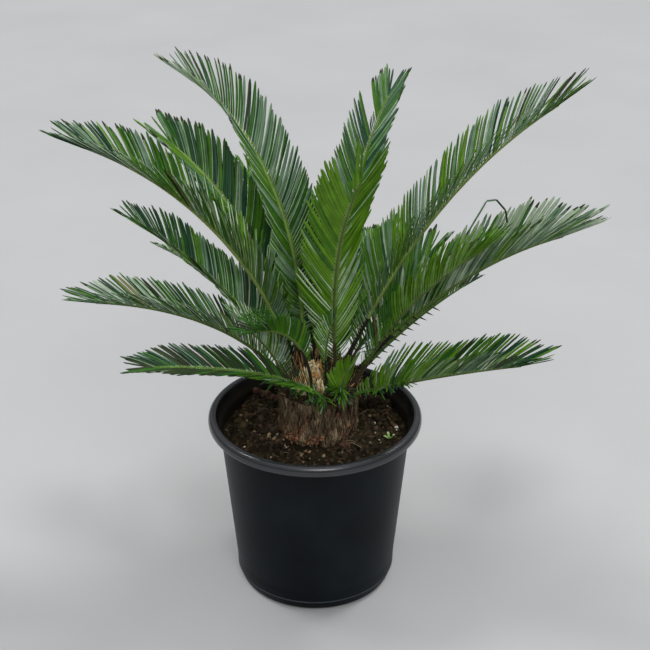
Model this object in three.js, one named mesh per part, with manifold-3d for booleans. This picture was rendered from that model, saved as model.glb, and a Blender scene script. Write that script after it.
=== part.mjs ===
// A sago palm growing in a black nursery pot, in millimetres, with +Z up.
// The origin is the centre of the pot's flat underside, and -Y is the front of the plant.
// A short woody trunk stands in the soil and carries a crown of feather-shaped fronds.
import * as THREE from "three";
import { mergeVertices } from "three/addons/utils/BufferGeometryUtils.js";
import Module from "manifold-3d";

const wasm = await Module();
wasm.setup();

// ---------------------------------------------------------------- driving dimensions

const GAP = 0.3; // clearance between pieces that touch

const POT_HEIGHT = 334;
const POT_RIM_RADIUS = 190;
const POT_FOOT_RADIUS = 138;
const POT_WALL = 3;
const POT_FLOOR = 5;
const POT_SHOULDER = 40; // height at which the rounded foot becomes the straight wall
const POT_SHOULDER_RADIUS = 145.5;
const POT_NECK = 312; // height at which the wall meets the rolled rim
const POT_NECK_RADIUS = 170;
const POT_SIDES = 48;
const FOOT_RING_RADIUS = 135; // the pot stands on a low ring, a little inside its rounded foot
const FOOT_RING_HEIGHT = 4;
const RIM_DEPTH = 13; // height of the rim's outer band
const RIM_UNDERCUT = 3; // how far the lower edge of that band turns in
const RIM_ROUNDING = 7;
const RIM_WIDTH = 12; // from the rim's outside to the edge of the mouth

const SOIL_EDGE = 294; // height of the soil at the pot's wall
const SOIL_MOUND = 9; // how much higher the soil stands against the trunk
const SOIL_HEAPS = [ // across, back, width and height of the larger lumps on the soil
  [104, 70, 46, 14],
  [-102, 104, 36, 12],
  [-64, 84, 28, 9],
  [-50, -64, 26, 5],
  [66, -62, 26, 5],
];

const TRUNK_X = 6; // the trunk stands a little to the right of the pot's centre
const TRUNK_FOOT = 286;
const TRUNK_TOP = 384;
const TRUNK_FOOT_RADIUS = 70;
const TRUNK_RADIUS = 69;
const TRUNK_HEAD_SWELL = 2; // how far the trunk widens again under its crown
const TRUNK_SPREAD = [1, 4]; // how far its foot spreads over the soil: all round, and at four corners
const TRUNK_RELIEF = 3.4; // how far the stubs of old leaves stand out
const TRUNK_COLUMNS = 13;
const TRUNK_SPIRALS = 8; // stub columns that run up the other way round
const TRUNK_BURIED = 20; // height of the straight foot that stands in the soil

const CROWN_RADIUS = 74;
const CROWN_HEIGHT = 50;
const BUD_RADIUS = 17;
const BUD_HEIGHT = 62;
const SEAT_RISE = 6; // how far a frond's foot stands off the crown
const SEAT_DEPTH = 13; // how deep its seat reaches into the crown
const SEAT_BACK_SWELL = 1.5; // a seat is wider than the frond it holds
const SEAT_FRONT_SWELL = 1.12;

const LEAFLET_PITCH = 12; // distance between neighbouring leaflets on a midrib
const AXIS_STEPS = 120;
const RIB_HALF_WIDTH = [3.7, 1.15]; // at the foot and at the tip of a long frond
const RIB_BAND = [3, 1.7]; // depth of the midrib's upright flanks
const RIB_KEEL = [7, 2.8]; // depth of its keel
const RIB_REACH = [6, 2.5]; // room that a midrib takes up on each side
const END_LEAFLET_SHARE = 0.75; // the last point past the tip, as a share of the longest leaflet
const LEAFLET_HALF_WIDTH = [4.6, 0.6];
const LEAFLET_CUTS = [1, 0.9, 0.8, 0.7, 0.6, 0.5, 0.4, 0.3]; // lengths tried where room is short
const CLEARANCE = 1.6; // least room between a leaflet and anything on another frond

// Seat angle and seat radius place a frond on the crown. A bend over 1 keeps the curve for the
// tip. Turn swings the heading sideways, roll leans the face over, and lift raises the leaflets.
// Bare is the share of a frond without long leaflets at its foot: under 0.02 they start there.
// From closing on, the leaflets draw in towards the tip.
const FROND_KEYS = [
  "name", "seatAngle", "seatRadius", "heading", "footSlope", "tipSlope", "bend", "length",
  "turn", "roll", "tipRoll", "leafletLength", "lift", "bare", "closing",
];
const FRONDS = [
  ["frond_front_tall", -52, 46, -60, 95, 66, 1.5, 364, 36, 28, 42, 98, 30, 0.07, 0.84],
  ["frond_left_tall", 140, 30, 134, 88, 21, 1.5, 546, 9, 20, 0, 98, 40, 0.07, 0.75],
  ["frond_right_long", 12, 44, 10, 65, 31, 1.5, 578, -1, 0, 0, 98, 45, 0.07, 0.75],
  ["frond_left_long", 160, 48, 161, 79, 16, 0.85, 534, 6, -20, 4, 98, 42, 0.07, 0.75],
  ["frond_back_tall", 50, 14, 67, 72, 26, 1.2, 508, 0, -4, -4, 86, 40, 0.07, 0.75],
  ["frond_right_mid", 2, 62, 0, 50, 16, 1.5, 432, 0, 0, 0, 110, 55, 0.07, 0.75],
  ["frond_left_upper", 136, 46, 138, 75, 24, 0.9, 452, 3, 16, 12, 98, 40, 0.07, 0.75],
  ["frond_left_mid", 152, 64, 151, 56, 20, 0.7, 366, 0, 0, 0, 78, 40, 0.07, 0.75],
  ["frond_left_low", 187, 64, 188, 68, 6, 0.55, 356, 0, 0, 0, 80, 45, 0.07, 0.75],
  ["frond_right_low", -38, 72, -26, 26, 19, 1.1, 316, 0, 0, 0, 90, 50, 0, 0.75],
  ["frond_left_lowest", 281, 72, 197, 90, 4, 0.22, 322, -8, 18, 18, 62, 27, -0.03, 0.75],
  ["frond_right_front", -24, 64, -24, 64, 38, 1.25, 360, 0, 0, 0, 84, 40, 0.07, 0.75],
  ["frond_front_left_small", 262, 64, 226, 86, 8, 1.2, 226, -2, 0, 0, 62, 45, 0.28, 0.75],
  ["frond_front_right_small", 298, 70, 304, 78, 60, 1, 70, 0, 0, 0, 52, 16, -0.1, 0.75],
  ["frond_left_inner", 212, 60, 204, 70, 43, 1, 150, 0, 0, 0, 66, 40, 0.07, 0.75],
  ["frond_front_young", -78, 57, -47, 95, 67, 1.4, 128, 11, 0, 0, 38, 55, 0.3, 0.75],
  ["frond_back_right_short", 56, 52, 56, 46, 29, 1, 244, 0, 0, 0, 75, 40, 0.07, 0.75],
  ["frond_right_back_short", 32, 62, 42, 44, 31, 1, 242, 0, 0, 0, 80, 40, 0.07, 0.75],
  ["frond_back_inner", 98, 40, 104, 86, 66, 1, 220, 0, 0, 0, 64, 40, 0.07, 0.75],
  ["frond_back_left", 112, 60, 107, 44, 14, 1, 432, 0, 0, 0, 88, 40, 0.07, 0.75],
  ["frond_back", 90, 62, 90, 34, 2, 1, 418, 0, 0, 0, 88, 40, 0.07, 0.75],
  ["frond_back_right_low", 72, 70, 74, 24, -6, 1, 400, 0, 0, 0, 84, 40, 0.07, 0.75],
  ["frond_back_left_low", 130, 71, 127, 26, -3, 1, 396, 0, 0, 0, 80, 40, 0.07, 0.75],
  ["frond_right_back_low", 16, 71, 30, 38, 16, 1, 268, 0, 0, 0, 72, 40, 0.07, 0.75],
];

// ---------------------------------------------------------------- materials

function material(color, roughness) {
  return new THREE.MeshStandardMaterial({ color, roughness, metalness: 0 });
}

const plastic = material(0x1b1c1f, 0.5);
const earth = material(0x2b1c14, 0.95);
const bark = material(0x4a2f20, 0.9);
const wool = material(0xb08a5a, 0.9);
const leaf = material(0x2f6b26, 0.45);

// ---------------------------------------------------------------- small tools

const radians = THREE.MathUtils.degToRad;
const ease = THREE.MathUtils.smoothstep;
const { clamp, lerp } = THREE.MathUtils;

// A seeded source of numbers from 0 to 1, the same in every run.
function seeded(seed) {
  let state = seed;
  return () => {
    state = (state * 1103515245 + 12345) % 2147483648;
    return state / 2147483648;
  };
}

// A solid of revolution about Z, from (radius, height) points that run up the outside.
function turned(points, sides) {
  const profile = points.map(([radius, height]) => new THREE.Vector2(radius, height));
  return new THREE.LatheGeometry(profile, sides).rotateX(Math.PI / 2);
}

// Moves each vertex that lies off the axis by a rule of its angle, radius and height.
function reshaped(geometry, rule) {
  const position = geometry.getAttribute("position");
  for (let i = 0; i < position.count; i += 1) {
    const radius = Math.hypot(position.getX(i), position.getY(i));
    const angle = Math.atan2(position.getY(i), position.getX(i));
    if (radius > 1e-3) {
      const [newRadius, newHeight] = rule(angle, radius, position.getZ(i));
      position.setXYZ(i, newRadius * Math.cos(angle), newRadius * Math.sin(angle), newHeight);
    }
  }
  return geometry;
}

// A closed geometry as a solid that can be joined or cut.
function solidOf(geometry) {
  const plain = geometry.index ? geometry.toNonIndexed() : geometry.clone();
  plain.deleteAttribute("normal");
  plain.deleteAttribute("uv");
  const merged = mergeVertices(plain, 1e-3);
  const vertProperties = merged.getAttribute("position").array;
  const triVerts = new Uint32Array(merged.index.array);
  return new wasm.Manifold(new wasm.Mesh({ numProp: 3, vertProperties, triVerts }));
}

// A solid back as a geometry.
function geometryOf(solid) {
  const mesh = solid.getMesh();
  const geometry = new THREE.BufferGeometry();
  geometry.setAttribute("position", new THREE.BufferAttribute(mesh.vertProperties, 3));
  geometry.setIndex(new THREE.BufferAttribute(mesh.triVerts, 1));
  geometry.computeVertexNormals();
  return geometry;
}

// ---------------------------------------------------------------- pot

// Radius of the pot's outside at a height: a rounded foot under a straight flaring wall.
function potRadius(height) {
  if (height < POT_SHOULDER) {
    const share = 1 - height / POT_SHOULDER;
    return POT_SHOULDER_RADIUS - (POT_SHOULDER_RADIUS - POT_FOOT_RADIUS) * share ** 2.4;
  }
  const share = (height - POT_SHOULDER) / (POT_NECK - POT_SHOULDER);
  return POT_SHOULDER_RADIUS + (POT_NECK_RADIUS - POT_SHOULDER_RADIUS) * share;
}

// The rolled rim: a rounded lip round the mouth that overhangs the wall.
function rimPoints() {
  const centreRadius = POT_RIM_RADIUS - RIM_ROUNDING;
  const centreHeight = POT_HEIGHT - RIM_ROUNDING;
  const points = [
    [POT_RIM_RADIUS - RIM_UNDERCUT, POT_HEIGHT - RIM_DEPTH - RIM_UNDERCUT],
    [POT_RIM_RADIUS, POT_HEIGHT - RIM_DEPTH],
  ];
  for (let i = 0; i <= 4; i += 1) {
    const angle = (Math.PI / 2) * (i / 4);
    const across = RIM_ROUNDING * Math.cos(angle);
    points.push([centreRadius + across, centreHeight + RIM_ROUNDING * Math.sin(angle)]);
  }
  points.push([POT_RIM_RADIUS - RIM_WIDTH, POT_HEIGHT - POT_WALL]);
  return points;
}

function potGeometry() {
  const outside = [FOOT_RING_HEIGHT, 10, 22, POT_SHOULDER, POT_NECK];
  const inside = [POT_NECK, POT_SHOULDER, 16, POT_FLOOR];
  return turned([
    [0, 0],
    [FOOT_RING_RADIUS, 0],
    [FOOT_RING_RADIUS, FOOT_RING_HEIGHT],
    ...outside.map((height) => [potRadius(height), height]),
    ...rimPoints(),
    ...inside.map((height) => [potRadius(height) - POT_WALL, height]),
    [0, POT_FLOOR],
  ], POT_SIDES);
}

// ---------------------------------------------------------------- soil

// Height that the lumps of the soil add, by angle and radius.
function soilLumps(angle, radius) {
  const broad = Math.sin(3 * angle + 0.6) * Math.cos(radius / 21);
  const small = Math.sin(11 * angle + radius / 6) * Math.cos(5 * angle - radius / 9);
  return 2.6 * broad + 1.5 * small;
}

// Height that the larger heaps add.
function soilHeaps(angle, radius) {
  const [across, back] = [radius * Math.cos(angle), radius * Math.sin(angle)];
  return SOIL_HEAPS.reduce((sum, [x, y, width, height]) => (
    sum + height * Math.exp(-2 * ((across - x) ** 2 + (back - y) ** 2) / width ** 2)
  ), 0);
}

// A closed body that fills the pot, with a flat-bottomed hollow that the trunk's foot stands in.
function soilGeometry() {
  const inner = (height) => potRadius(height) - POT_WALL - GAP;
  const bottom = POT_FLOOR + GAP;
  const hollow = TRUNK_FOOT_RADIUS + GAP;
  const rings = [1, 0.86, 0.64, 0.42, 0.2, 0].map((share) => {
    const radius = hollow + (inner(SOIL_EDGE) - hollow) * share;
    return [radius, SOIL_EDGE + SOIL_MOUND * (1 - share) ** 1.5];
  });
  const sides = [bottom, 16, POT_SHOULDER];
  const body = turned([
    [0, bottom],
    ...sides.map((height) => [inner(height), height]),
    ...rings,
    [hollow, TRUNK_FOOT - GAP],
    [0, TRUNK_FOOT - GAP],
  ], POT_SIDES);
  const wall = inner(SOIL_EDGE);
  reshaped(body, (angle, radius, height) => {
    const onTop = height > SOIL_EDGE - 1 && radius < wall - 5 && radius > hollow + 1;
    return [radius, onTop ? height + soilLumps(angle, radius) + soilHeaps(angle, radius) : height];
  });
  return movedInside(body, hollow, wall);
}

// Moves the hollow and the ground round it over to where the trunk stands.
function movedInside(geometry, hollow, wall) {
  const position = geometry.getAttribute("position");
  for (let i = 0; i < position.count; i += 1) {
    const radius = Math.hypot(position.getX(i), position.getY(i));
    const share = clamp((wall - radius) / (wall - hollow), 0, 1);
    if (position.getZ(i) > TRUNK_FOOT - 1) position.setX(i, position.getX(i) + TRUNK_X * share);
  }
  return geometry;
}

// ---------------------------------------------------------------- trunk

// The stubs of old leaves stand round the trunk in crossing spirals.
function stubRelief(angle, height) {
  const rise = (2 * Math.PI * height) / 88;
  const left = Math.cos(TRUNK_COLUMNS * angle + 3 * rise);
  const right = Math.cos(TRUNK_SPIRALS * angle - 3 * rise);
  return TRUNK_RELIEF * left * right;
}

// The foot spreads just over the soil, most towards four corners.
function footSpread(angle, height) {
  const ground = TRUNK_FOOT + TRUNK_BURIED;
  const place = ease(height, ground, ground + 4) * (1 - ease(height, ground + 8, ground + 40));
  const corners = (1 - Math.cos(4 * angle)) / 2;
  return place * (TRUNK_SPREAD[0] + TRUNK_SPREAD[1] * corners);
}

function trunkGeometry() {
  const rows = 11;
  const ground = TRUNK_FOOT + TRUNK_BURIED;
  const points = [[0, TRUNK_FOOT]];
  for (let i = 0; i <= rows; i += 1) {
    const height = lerp(TRUNK_FOOT, TRUNK_TOP, i / rows);
    const waist = lerp(TRUNK_FOOT_RADIUS, TRUNK_RADIUS, ease(height, ground, ground + 40));
    points.push([waist + TRUNK_HEAD_SWELL * ease(height, TRUNK_TOP - 25, TRUNK_TOP), height]);
  }
  points.push([0, TRUNK_TOP]);
  return reshaped(turned(points, TRUNK_COLUMNS * 4), (angle, radius, height) => {
    const rise = ease(height, ground, ground + 14);
    return [radius + rise * stubRelief(angle, height) + footSpread(angle, height), height];
  });
}

// ---------------------------------------------------------------- fronds

// The frond's foot on the domed crown.
function seatPoint(frond) {
  const share = frond.seatRadius / CROWN_RADIUS;
  const height = CROWN_HEIGHT * Math.sqrt(1 - share ** 2);
  const normal = new THREE.Vector2(frond.seatRadius / CROWN_RADIUS ** 2, height / CROWN_HEIGHT ** 2);
  normal.setLength(SEAT_RISE);
  const radius = frond.seatRadius + normal.x;
  const angle = radians(frond.seatAngle);
  return new THREE.Vector3(
    TRUNK_X + radius * Math.cos(angle),
    radius * Math.sin(angle),
    TRUNK_TOP + GAP + height + normal.y,
  );
}

// Directions at a share of the midrib: along it, up from its face, and to its right.
function directionsAt(frond, share) {
  const slope = radians(frond.footSlope + (frond.tipSlope - frond.footSlope) * share ** frond.bend);
  const heading = radians(frond.heading + frond.turn * share);
  const roll = radians(lerp(frond.roll, frond.tipRoll, ease(share, 0.45, 0.75)));
  const along = new THREE.Vector3(
    Math.cos(slope) * Math.cos(heading),
    Math.cos(slope) * Math.sin(heading),
    Math.sin(slope),
  );
  const up = new THREE.Vector3(
    -Math.sin(slope) * Math.cos(heading),
    -Math.sin(slope) * Math.sin(heading),
    Math.cos(slope),
  );
  up.applyAxisAngle(along, -roll);
  return { along, up, side: along.clone().cross(up) };
}

// The points of the midrib, at even steps from its foot to its tip.
function midribPoints(frond) {
  const points = [seatPoint(frond)];
  for (let i = 0; i < AXIS_STEPS; i += 1) {
    const { along } = directionsAt(frond, (i + 0.5) / AXIS_STEPS);
    points.push(points[i].clone().addScaledVector(along, frond.length / AXIS_STEPS));
  }
  return points;
}

function midribAt(frond, share) {
  const place = share * AXIS_STEPS;
  const index = Math.min(AXIS_STEPS - 1, Math.floor(place));
  return frond.points[index].clone().lerp(frond.points[index + 1], place - index);
}

// Leaflets are short spines at the frond's foot, longest past a third of it, a little shorter at its tip.
function leafletLength(frond, share) {
  const grown = ease(share, frond.bare - 0.03, frond.bare + 0.23);
  return frond.leafletLength * (0.15 + 0.85 * grown * (1 - 0.18 * ease(share, frond.closing - 0.05, 1)));
}

// Angle between a leaflet and the midrib: wide at the foot, close to it at the tip.
function leafletSweep(frond, share) {
  return radians(60 - 22 * ease(share, 0.05, 0.4) - 18 * ease(share, frond.closing, 1));
}

// How steeply the leaflets stand over the midrib's flanks: they flatten towards the tip.
function leafletLift(frond, share) {
  return radians(frond.lift * (1 - 0.25 * ease(share, 0.8, 1)));
}

// One leaflet as a straight stretch from the midrib's middle to its own tip.
function leafletAt(frond, share, hand, lengthShare) {
  const { along, up, side } = directionsAt(frond, share);
  const sweep = leafletSweep(frond, share);
  const lift = leafletLift(frond, share);
  const reach = leafletLength(frond, share) * lengthShare;
  const root = midribAt(frond, share);
  const tip = root.clone().addScaledVector(along, Math.cos(sweep) * reach);
  tip.addScaledVector(side, hand * Math.cos(lift) * Math.sin(sweep) * reach);
  tip.addScaledVector(up, Math.sin(lift) * Math.sin(sweep) * reach);
  return { root, tip };
}

// The midrib's section at a share of its length, in (side, up) distances: flat above, keeled below.
function ribSection(share, swell) {
  const half = swell * lerp(...RIB_HALF_WIDTH, share);
  const band = swell * lerp(...RIB_BAND, share);
  const keel = swell * lerp(...RIB_KEEL, share);
  return [[-half, 0], [half, 0], [half, -band], [0, -keel], [-half, -band]];
}

function ringAt(frond, share, origin, swell) {
  const { up, side } = directionsAt(frond, share);
  return ribSection(share, swell * frond.girth).map(([across, above]) => (
    origin.clone().addScaledVector(side, across).addScaledVector(up, above)
  ));
}

// ---------------------------------------------------------------- room between the fronds

// A stretch from root to tip, with the room it takes up on each side there.
function stretchBetween(root, tip, width) {
  const middle = root.clone().lerp(tip, 0.5);
  return { root, tip, width, middle, reach: root.distanceTo(tip) / 2 + width[0] };
}

// Closest approach of two tapering stretches: their distance less what their widths take up there.
function clearanceBetween(a, b) {
  const along = a.tip.clone().sub(a.root);
  const across = b.tip.clone().sub(b.root);
  const between = a.root.clone().sub(b.root);
  const [aa, bb, ab] = [along.lengthSq(), across.lengthSq(), along.dot(across)];
  const [ac, bc] = [along.dot(between), across.dot(between)];
  const spread = aa * bb - ab * ab;
  let s = spread > 1e-9 ? clamp((ab * bc - ac * bb) / spread, 0, 1) : 0;
  const t = clamp((ab * s + bc) / bb, 0, 1);
  s = clamp((ab * t - ac) / aa, 0, 1);
  const apart = between.addScaledVector(along, s).addScaledVector(across, -t).length();
  return apart - lerp(...a.width, s) - lerp(...b.width, t);
}

function isClear(stretch, others) {
  return others.every((other) => (
    stretch.middle.distanceTo(other.middle) > stretch.reach + other.reach + CLEARANCE
    || clearanceBetween(stretch, other) > CLEARANCE
  ));
}

// A midrib as a chain of stretches that other fronds' leaflets keep clear of.
function ribStretches(frond) {
  const pieces = 14;
  const stretches = [];
  for (let i = 0; i < pieces; i += 1) {
    const root = i === 0 ? frond.seatBack : midribAt(frond, i / pieces);
    const room = frond.girth * lerp(...RIB_REACH, i / pieces);
    stretches.push(stretchBetween(root, midribAt(frond, (i + 1) / pieces), [room, room]));
  }
  return stretches;
}

// The leaflet at its full length, or cut as little as its room allows, or none.
function leafletInRoom(frond, share, hand, lengthShare, others) {
  for (const cut of LEAFLET_CUTS) {
    const { root, tip } = leafletAt(frond, share, hand, cut * lengthShare);
    const leaflet = stretchBetween(root, tip, LEAFLET_HALF_WIDTH);
    if (isClear(leaflet, others)) return leaflet;
  }
  return null;
}

// Gives each frond its leaflets in turn, so that a later frond makes way for an earlier one.
function placeLeaflets(fronds) {
  const placed = [];
  fronds.forEach((frond) => {
    const ribs = fronds.filter((other) => other !== frond).flatMap((other) => other.ribs);
    const others = [...ribs, ...placed];
    for (let pair = 0; pair < frond.leafletPairs; pair += 1) {
      [-1, 1].forEach((hand) => {
        const lengthShare = 0.94 + 0.12 * frond.random();
        frond.leaflets.push(leafletInRoom(frond, frond.shareAt(pair + 0.5), hand, lengthShare, others));
      });
    }
    placed.push(...frond.leaflets.filter((leaflet) => leaflet));
  });
}

// ---------------------------------------------------------------- frond solids

// Collects the corners and faces of one closed body.
class Skin {
  constructor() {
    this.corners = [];
    this.faces = [];
  }

  add(point) {
    this.corners.push(point.x, point.y, point.z);
    return this.corners.length / 3 - 1;
  }

  quad(a, b, c, d) {
    this.faces.push(a, b, c, a, c, d);
  }

  // A four-cornered opening drawn out to one tip.
  spike(a, b, c, d, tip) {
    this.faces.push(a, b, tip, b, c, tip, c, d, tip, d, a, tip);
  }

  geometry() {
    const geometry = new THREE.BufferGeometry();
    geometry.setAttribute("position", new THREE.Float32BufferAttribute(this.corners, 3));
    geometry.setIndex(this.faces);
    geometry.computeVertexNormals();
    return geometry;
  }
}

// A frond is one thin comb: a keeled midrib whose flanks are drawn out into pointed leaflets.
function frondGeometry(frond) {
  const skin = new Skin();
  const shares = [0, frond.start / 2];
  for (let i = 0; i <= frond.leafletPairs; i += 1) shares.push(frond.shareAt(i));
  const rings = shares.map((share) => (
    ringAt(frond, share, midribAt(frond, share), 1).map((point) => skin.add(point))
  ));
  rings.slice(1).forEach((next, index) => {
    const ring = rings[index];
    const pair = index - 2;
    ring.forEach((corner, edge) => {
      const after = (edge + 1) % ring.length;
      const hand = { 1: 1, 4: -1 }[edge];
      const leaflet = pair >= 0 && hand ? frond.leaflets[2 * pair + (hand > 0 ? 1 : 0)] : null;
      if (leaflet) skin.spike(corner, ring[after], next[after], next[edge], skin.add(leaflet.tip));
      else skin.quad(corner, ring[after], next[after], next[edge]);
    });
  });
  const foot = rings[0];
  skin.faces.push(foot[0], foot[4], foot[3], foot[0], foot[3], foot[2], foot[0], foot[2], foot[1]);
  const end = rings.at(-1);
  const { along } = directionsAt(frond, 1);
  const tip = skin.add(midribAt(frond, 1).addScaledVector(along, END_LEAFLET_SHARE * frond.leafletLength));
  end.forEach((corner, edge) => skin.faces.push(corner, end[(edge + 1) % end.length], tip));
  return skin.geometry();
}

function makeFrond(row, index) {
  const frond = Object.fromEntries(FROND_KEYS.map((key, place) => [key, row[place]]));
  frond.random = seeded(1000 + index);
  frond.girth = clamp(0.5 + frond.length / 1000, 0.6, 1); // a short frond has a thinner midrib
  frond.start = Math.max(frond.bare, 0.02); // share at which its leaflets start
  frond.leaflets = [];
  frond.points = midribPoints(frond);
  frond.seatBack = frond.points[0].clone().addScaledVector(directionsAt(frond, 0).along, -SEAT_DEPTH);
  frond.leafletPairs = Math.round((frond.length * (1 - frond.start)) / LEAFLET_PITCH);
  frond.shareAt = (pair) => frond.start + ((1 - frond.start) * pair) / frond.leafletPairs;
  frond.ribs = ribStretches(frond);
  return frond;
}

// ---------------------------------------------------------------- crown

// The seat that a frond grows from: a short swollen stub whose flat end faces the frond's foot.
function seatSolid(frond) {
  const skin = new Skin();
  const { along } = directionsAt(frond, 0);
  const front = frond.points[0].clone().addScaledVector(along, -GAP);
  const ends = [[frond.seatBack, SEAT_BACK_SWELL], [front, SEAT_FRONT_SWELL]];
  const rings = ends.map(([origin, swell]) => (
    ringAt(frond, 0, origin, swell).map((point) => skin.add(point))
  ));
  rings[0].forEach((corner, edge) => {
    const after = (edge + 1) % 5;
    skin.quad(corner, rings[0][after], rings[1][after], rings[1][edge]);
  });
  const [back, face] = rings;
  skin.faces.push(back[0], back[4], back[3], back[0], back[3], back[2], back[0], back[2], back[1]);
  skin.faces.push(face[0], face[3], face[4], face[0], face[2], face[3], face[0], face[1], face[2]);
  return solidOf(skin.geometry());
}

// The domed top of the trunk with its woolly bud in the middle and the seats of all fronds.
function crownGeometry(fronds) {
  const base = TRUNK_TOP + GAP;
  const rings = 6;
  const points = [[0, base]];
  for (let i = 0; i < rings; i += 1) {
    const angle = ((Math.PI / 2) * i) / rings;
    points.push([CROWN_RADIUS * Math.cos(angle), base + CROWN_HEIGHT * Math.sin(angle)]);
  }
  points.push([0, base + CROWN_HEIGHT]);
  const dome = solidOf(turned(points, 30).translate(TRUNK_X, 0, 0));
  const bud = solidOf(turned([
    [0, base + 10],
    [BUD_RADIUS, base + 10],
    [BUD_RADIUS, base + CROWN_HEIGHT - 2],
    [BUD_RADIUS * 0.7, base + BUD_HEIGHT - 5],
    [0, base + BUD_HEIGHT],
  ], 10).translate(TRUNK_X - 12, -12, -2));
  const below = new THREE.BoxGeometry(4 * CROWN_RADIUS, 4 * CROWN_RADIUS, 2 * CROWN_HEIGHT);
  const whole = fronds.reduce((solid, frond) => solid.add(seatSolid(frond)), dome.add(bud));
  return geometryOf(whole.subtract(solidOf(below.translate(0, 0, base - CROWN_HEIGHT))));
}

// ---------------------------------------------------------------- the whole plant

function named(name, geometry, finish) {
  const mesh = new THREE.Mesh(geometry, finish);
  mesh.name = name;
  return mesh;
}

const fronds = FRONDS.map(makeFrond);
placeLeaflets(fronds);

const palm = new THREE.Group();
palm.add(named("pot", potGeometry(), plastic));
palm.add(named("soil", soilGeometry(), earth));
palm.add(named("trunk", trunkGeometry().translate(TRUNK_X, 0, 0), bark));
palm.add(named("crown", crownGeometry(fronds), wool));
fronds.forEach((frond) => palm.add(named(frond.name, frondGeometry(frond), leaf)));

export default palm;
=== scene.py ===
# A sago palm in a black nursery pot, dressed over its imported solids. Metres, +Z up, -Y is the front.
import math

import bpy
import numpy as np
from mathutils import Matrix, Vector, noise


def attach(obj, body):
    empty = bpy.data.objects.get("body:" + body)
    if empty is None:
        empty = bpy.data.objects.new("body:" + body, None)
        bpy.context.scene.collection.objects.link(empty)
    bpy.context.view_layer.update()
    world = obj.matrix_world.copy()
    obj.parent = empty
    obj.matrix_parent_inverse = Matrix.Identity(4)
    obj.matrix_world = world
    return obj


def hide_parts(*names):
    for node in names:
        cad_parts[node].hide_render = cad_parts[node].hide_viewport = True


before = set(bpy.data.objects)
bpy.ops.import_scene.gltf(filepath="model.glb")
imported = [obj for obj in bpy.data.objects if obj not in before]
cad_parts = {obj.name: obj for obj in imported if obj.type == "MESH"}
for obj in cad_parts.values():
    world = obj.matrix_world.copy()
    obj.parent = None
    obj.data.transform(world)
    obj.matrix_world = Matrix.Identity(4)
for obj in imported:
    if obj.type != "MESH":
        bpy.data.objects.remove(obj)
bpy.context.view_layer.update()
scene = bpy.context.scene

# ---------------------------------------------------------------- dimensions, in metres

POT_HEIGHT = 0.334
POT_RIM_RADIUS = 0.190
POT_FOOT_RADIUS = 0.138
POT_SHOULDER = 0.040
POT_SHOULDER_RADIUS = 0.1455
POT_NECK = 0.312
POT_NECK_RADIUS = 0.170
POT_WALL = 0.003
POT_UNDERSIDE = 0.0012
RIM_ROUND_WIDTH = 0.0095
RIM_ROUND_HEIGHT = 0.0102
FOOT_RING_RADIUS = 0.135
FOOT_RING_HEIGHT = 0.004
FOOT_BEAD_HEIGHT = 0.0195
SOIL_EDGE = 0.294
SOIL_MOUND = 0.009
MOUND_TOP_RADIUS = 0.07
MOUND_SLOPE_WIDTH = 0.09
SOIL_SETTLED = 0.004
SOIL_REACH = 0.160
SOIL_FLOOR = 0.0053

TRUNK_X = 0.006
TRUNK_FOOT = 0.286
TRUNK_TOP = 0.384
TRUNK_RADIUS = 0.069
BARK_RADIUS = 0.0656
TRUNK_CLEAR = 0.072
STUB_HALF_WIDTH = 0.0100
STUB_HALF_HEIGHT = 0.0150

CROWN_RADIUS = 0.074
CROWN_HEIGHT = 0.050
SEAT_GAP = 0.0003
SEAT_RISE = 0.006
SEAT_DEPTH = 0.013

LEAFLET_PITCH = 0.0060
LEAFLET_HALF_WIDTH = 0.0027
LEAFLET_ROOM = np.array([0.0029, 0.0008])
RIB_ROOM = (0.006, 0.0025)
FULL_WIDTH_LENGTH = 0.075
CLEARANCE = 0.0012

UPWARD = np.array([0, 0, 1.0])
TRUNK_AXIS = np.array([TRUNK_X, 0, 0])

# In degrees, and for the leaflet's length in millimetres.
SWEEP_PLAY = 1.3
LIFT_PLAY = 2.2
SKIRT_SPREAD = 80
LEAFLET_TWIST = (17, 6)
GOLDEN_TURN = 137.508
SHORT_LEAFLET = 63
# Shares and counts.
LEAFLET_CUTS = (1, 0.9, 0.8, 0.7, 0.6, 0.5, 0.4, 0.3)
PLACE_PLAY = 0.18
HARD_SPINE_START = 0.09
END_LEAFLET_SHARE = 0.75
AXIS_STEPS = 120
RIB_ROOM_PLACES = 15
RIB_RINGS = 72
POT_SIDES = 192

# ---------------------------------------------------------------- the fronds' rows

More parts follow.
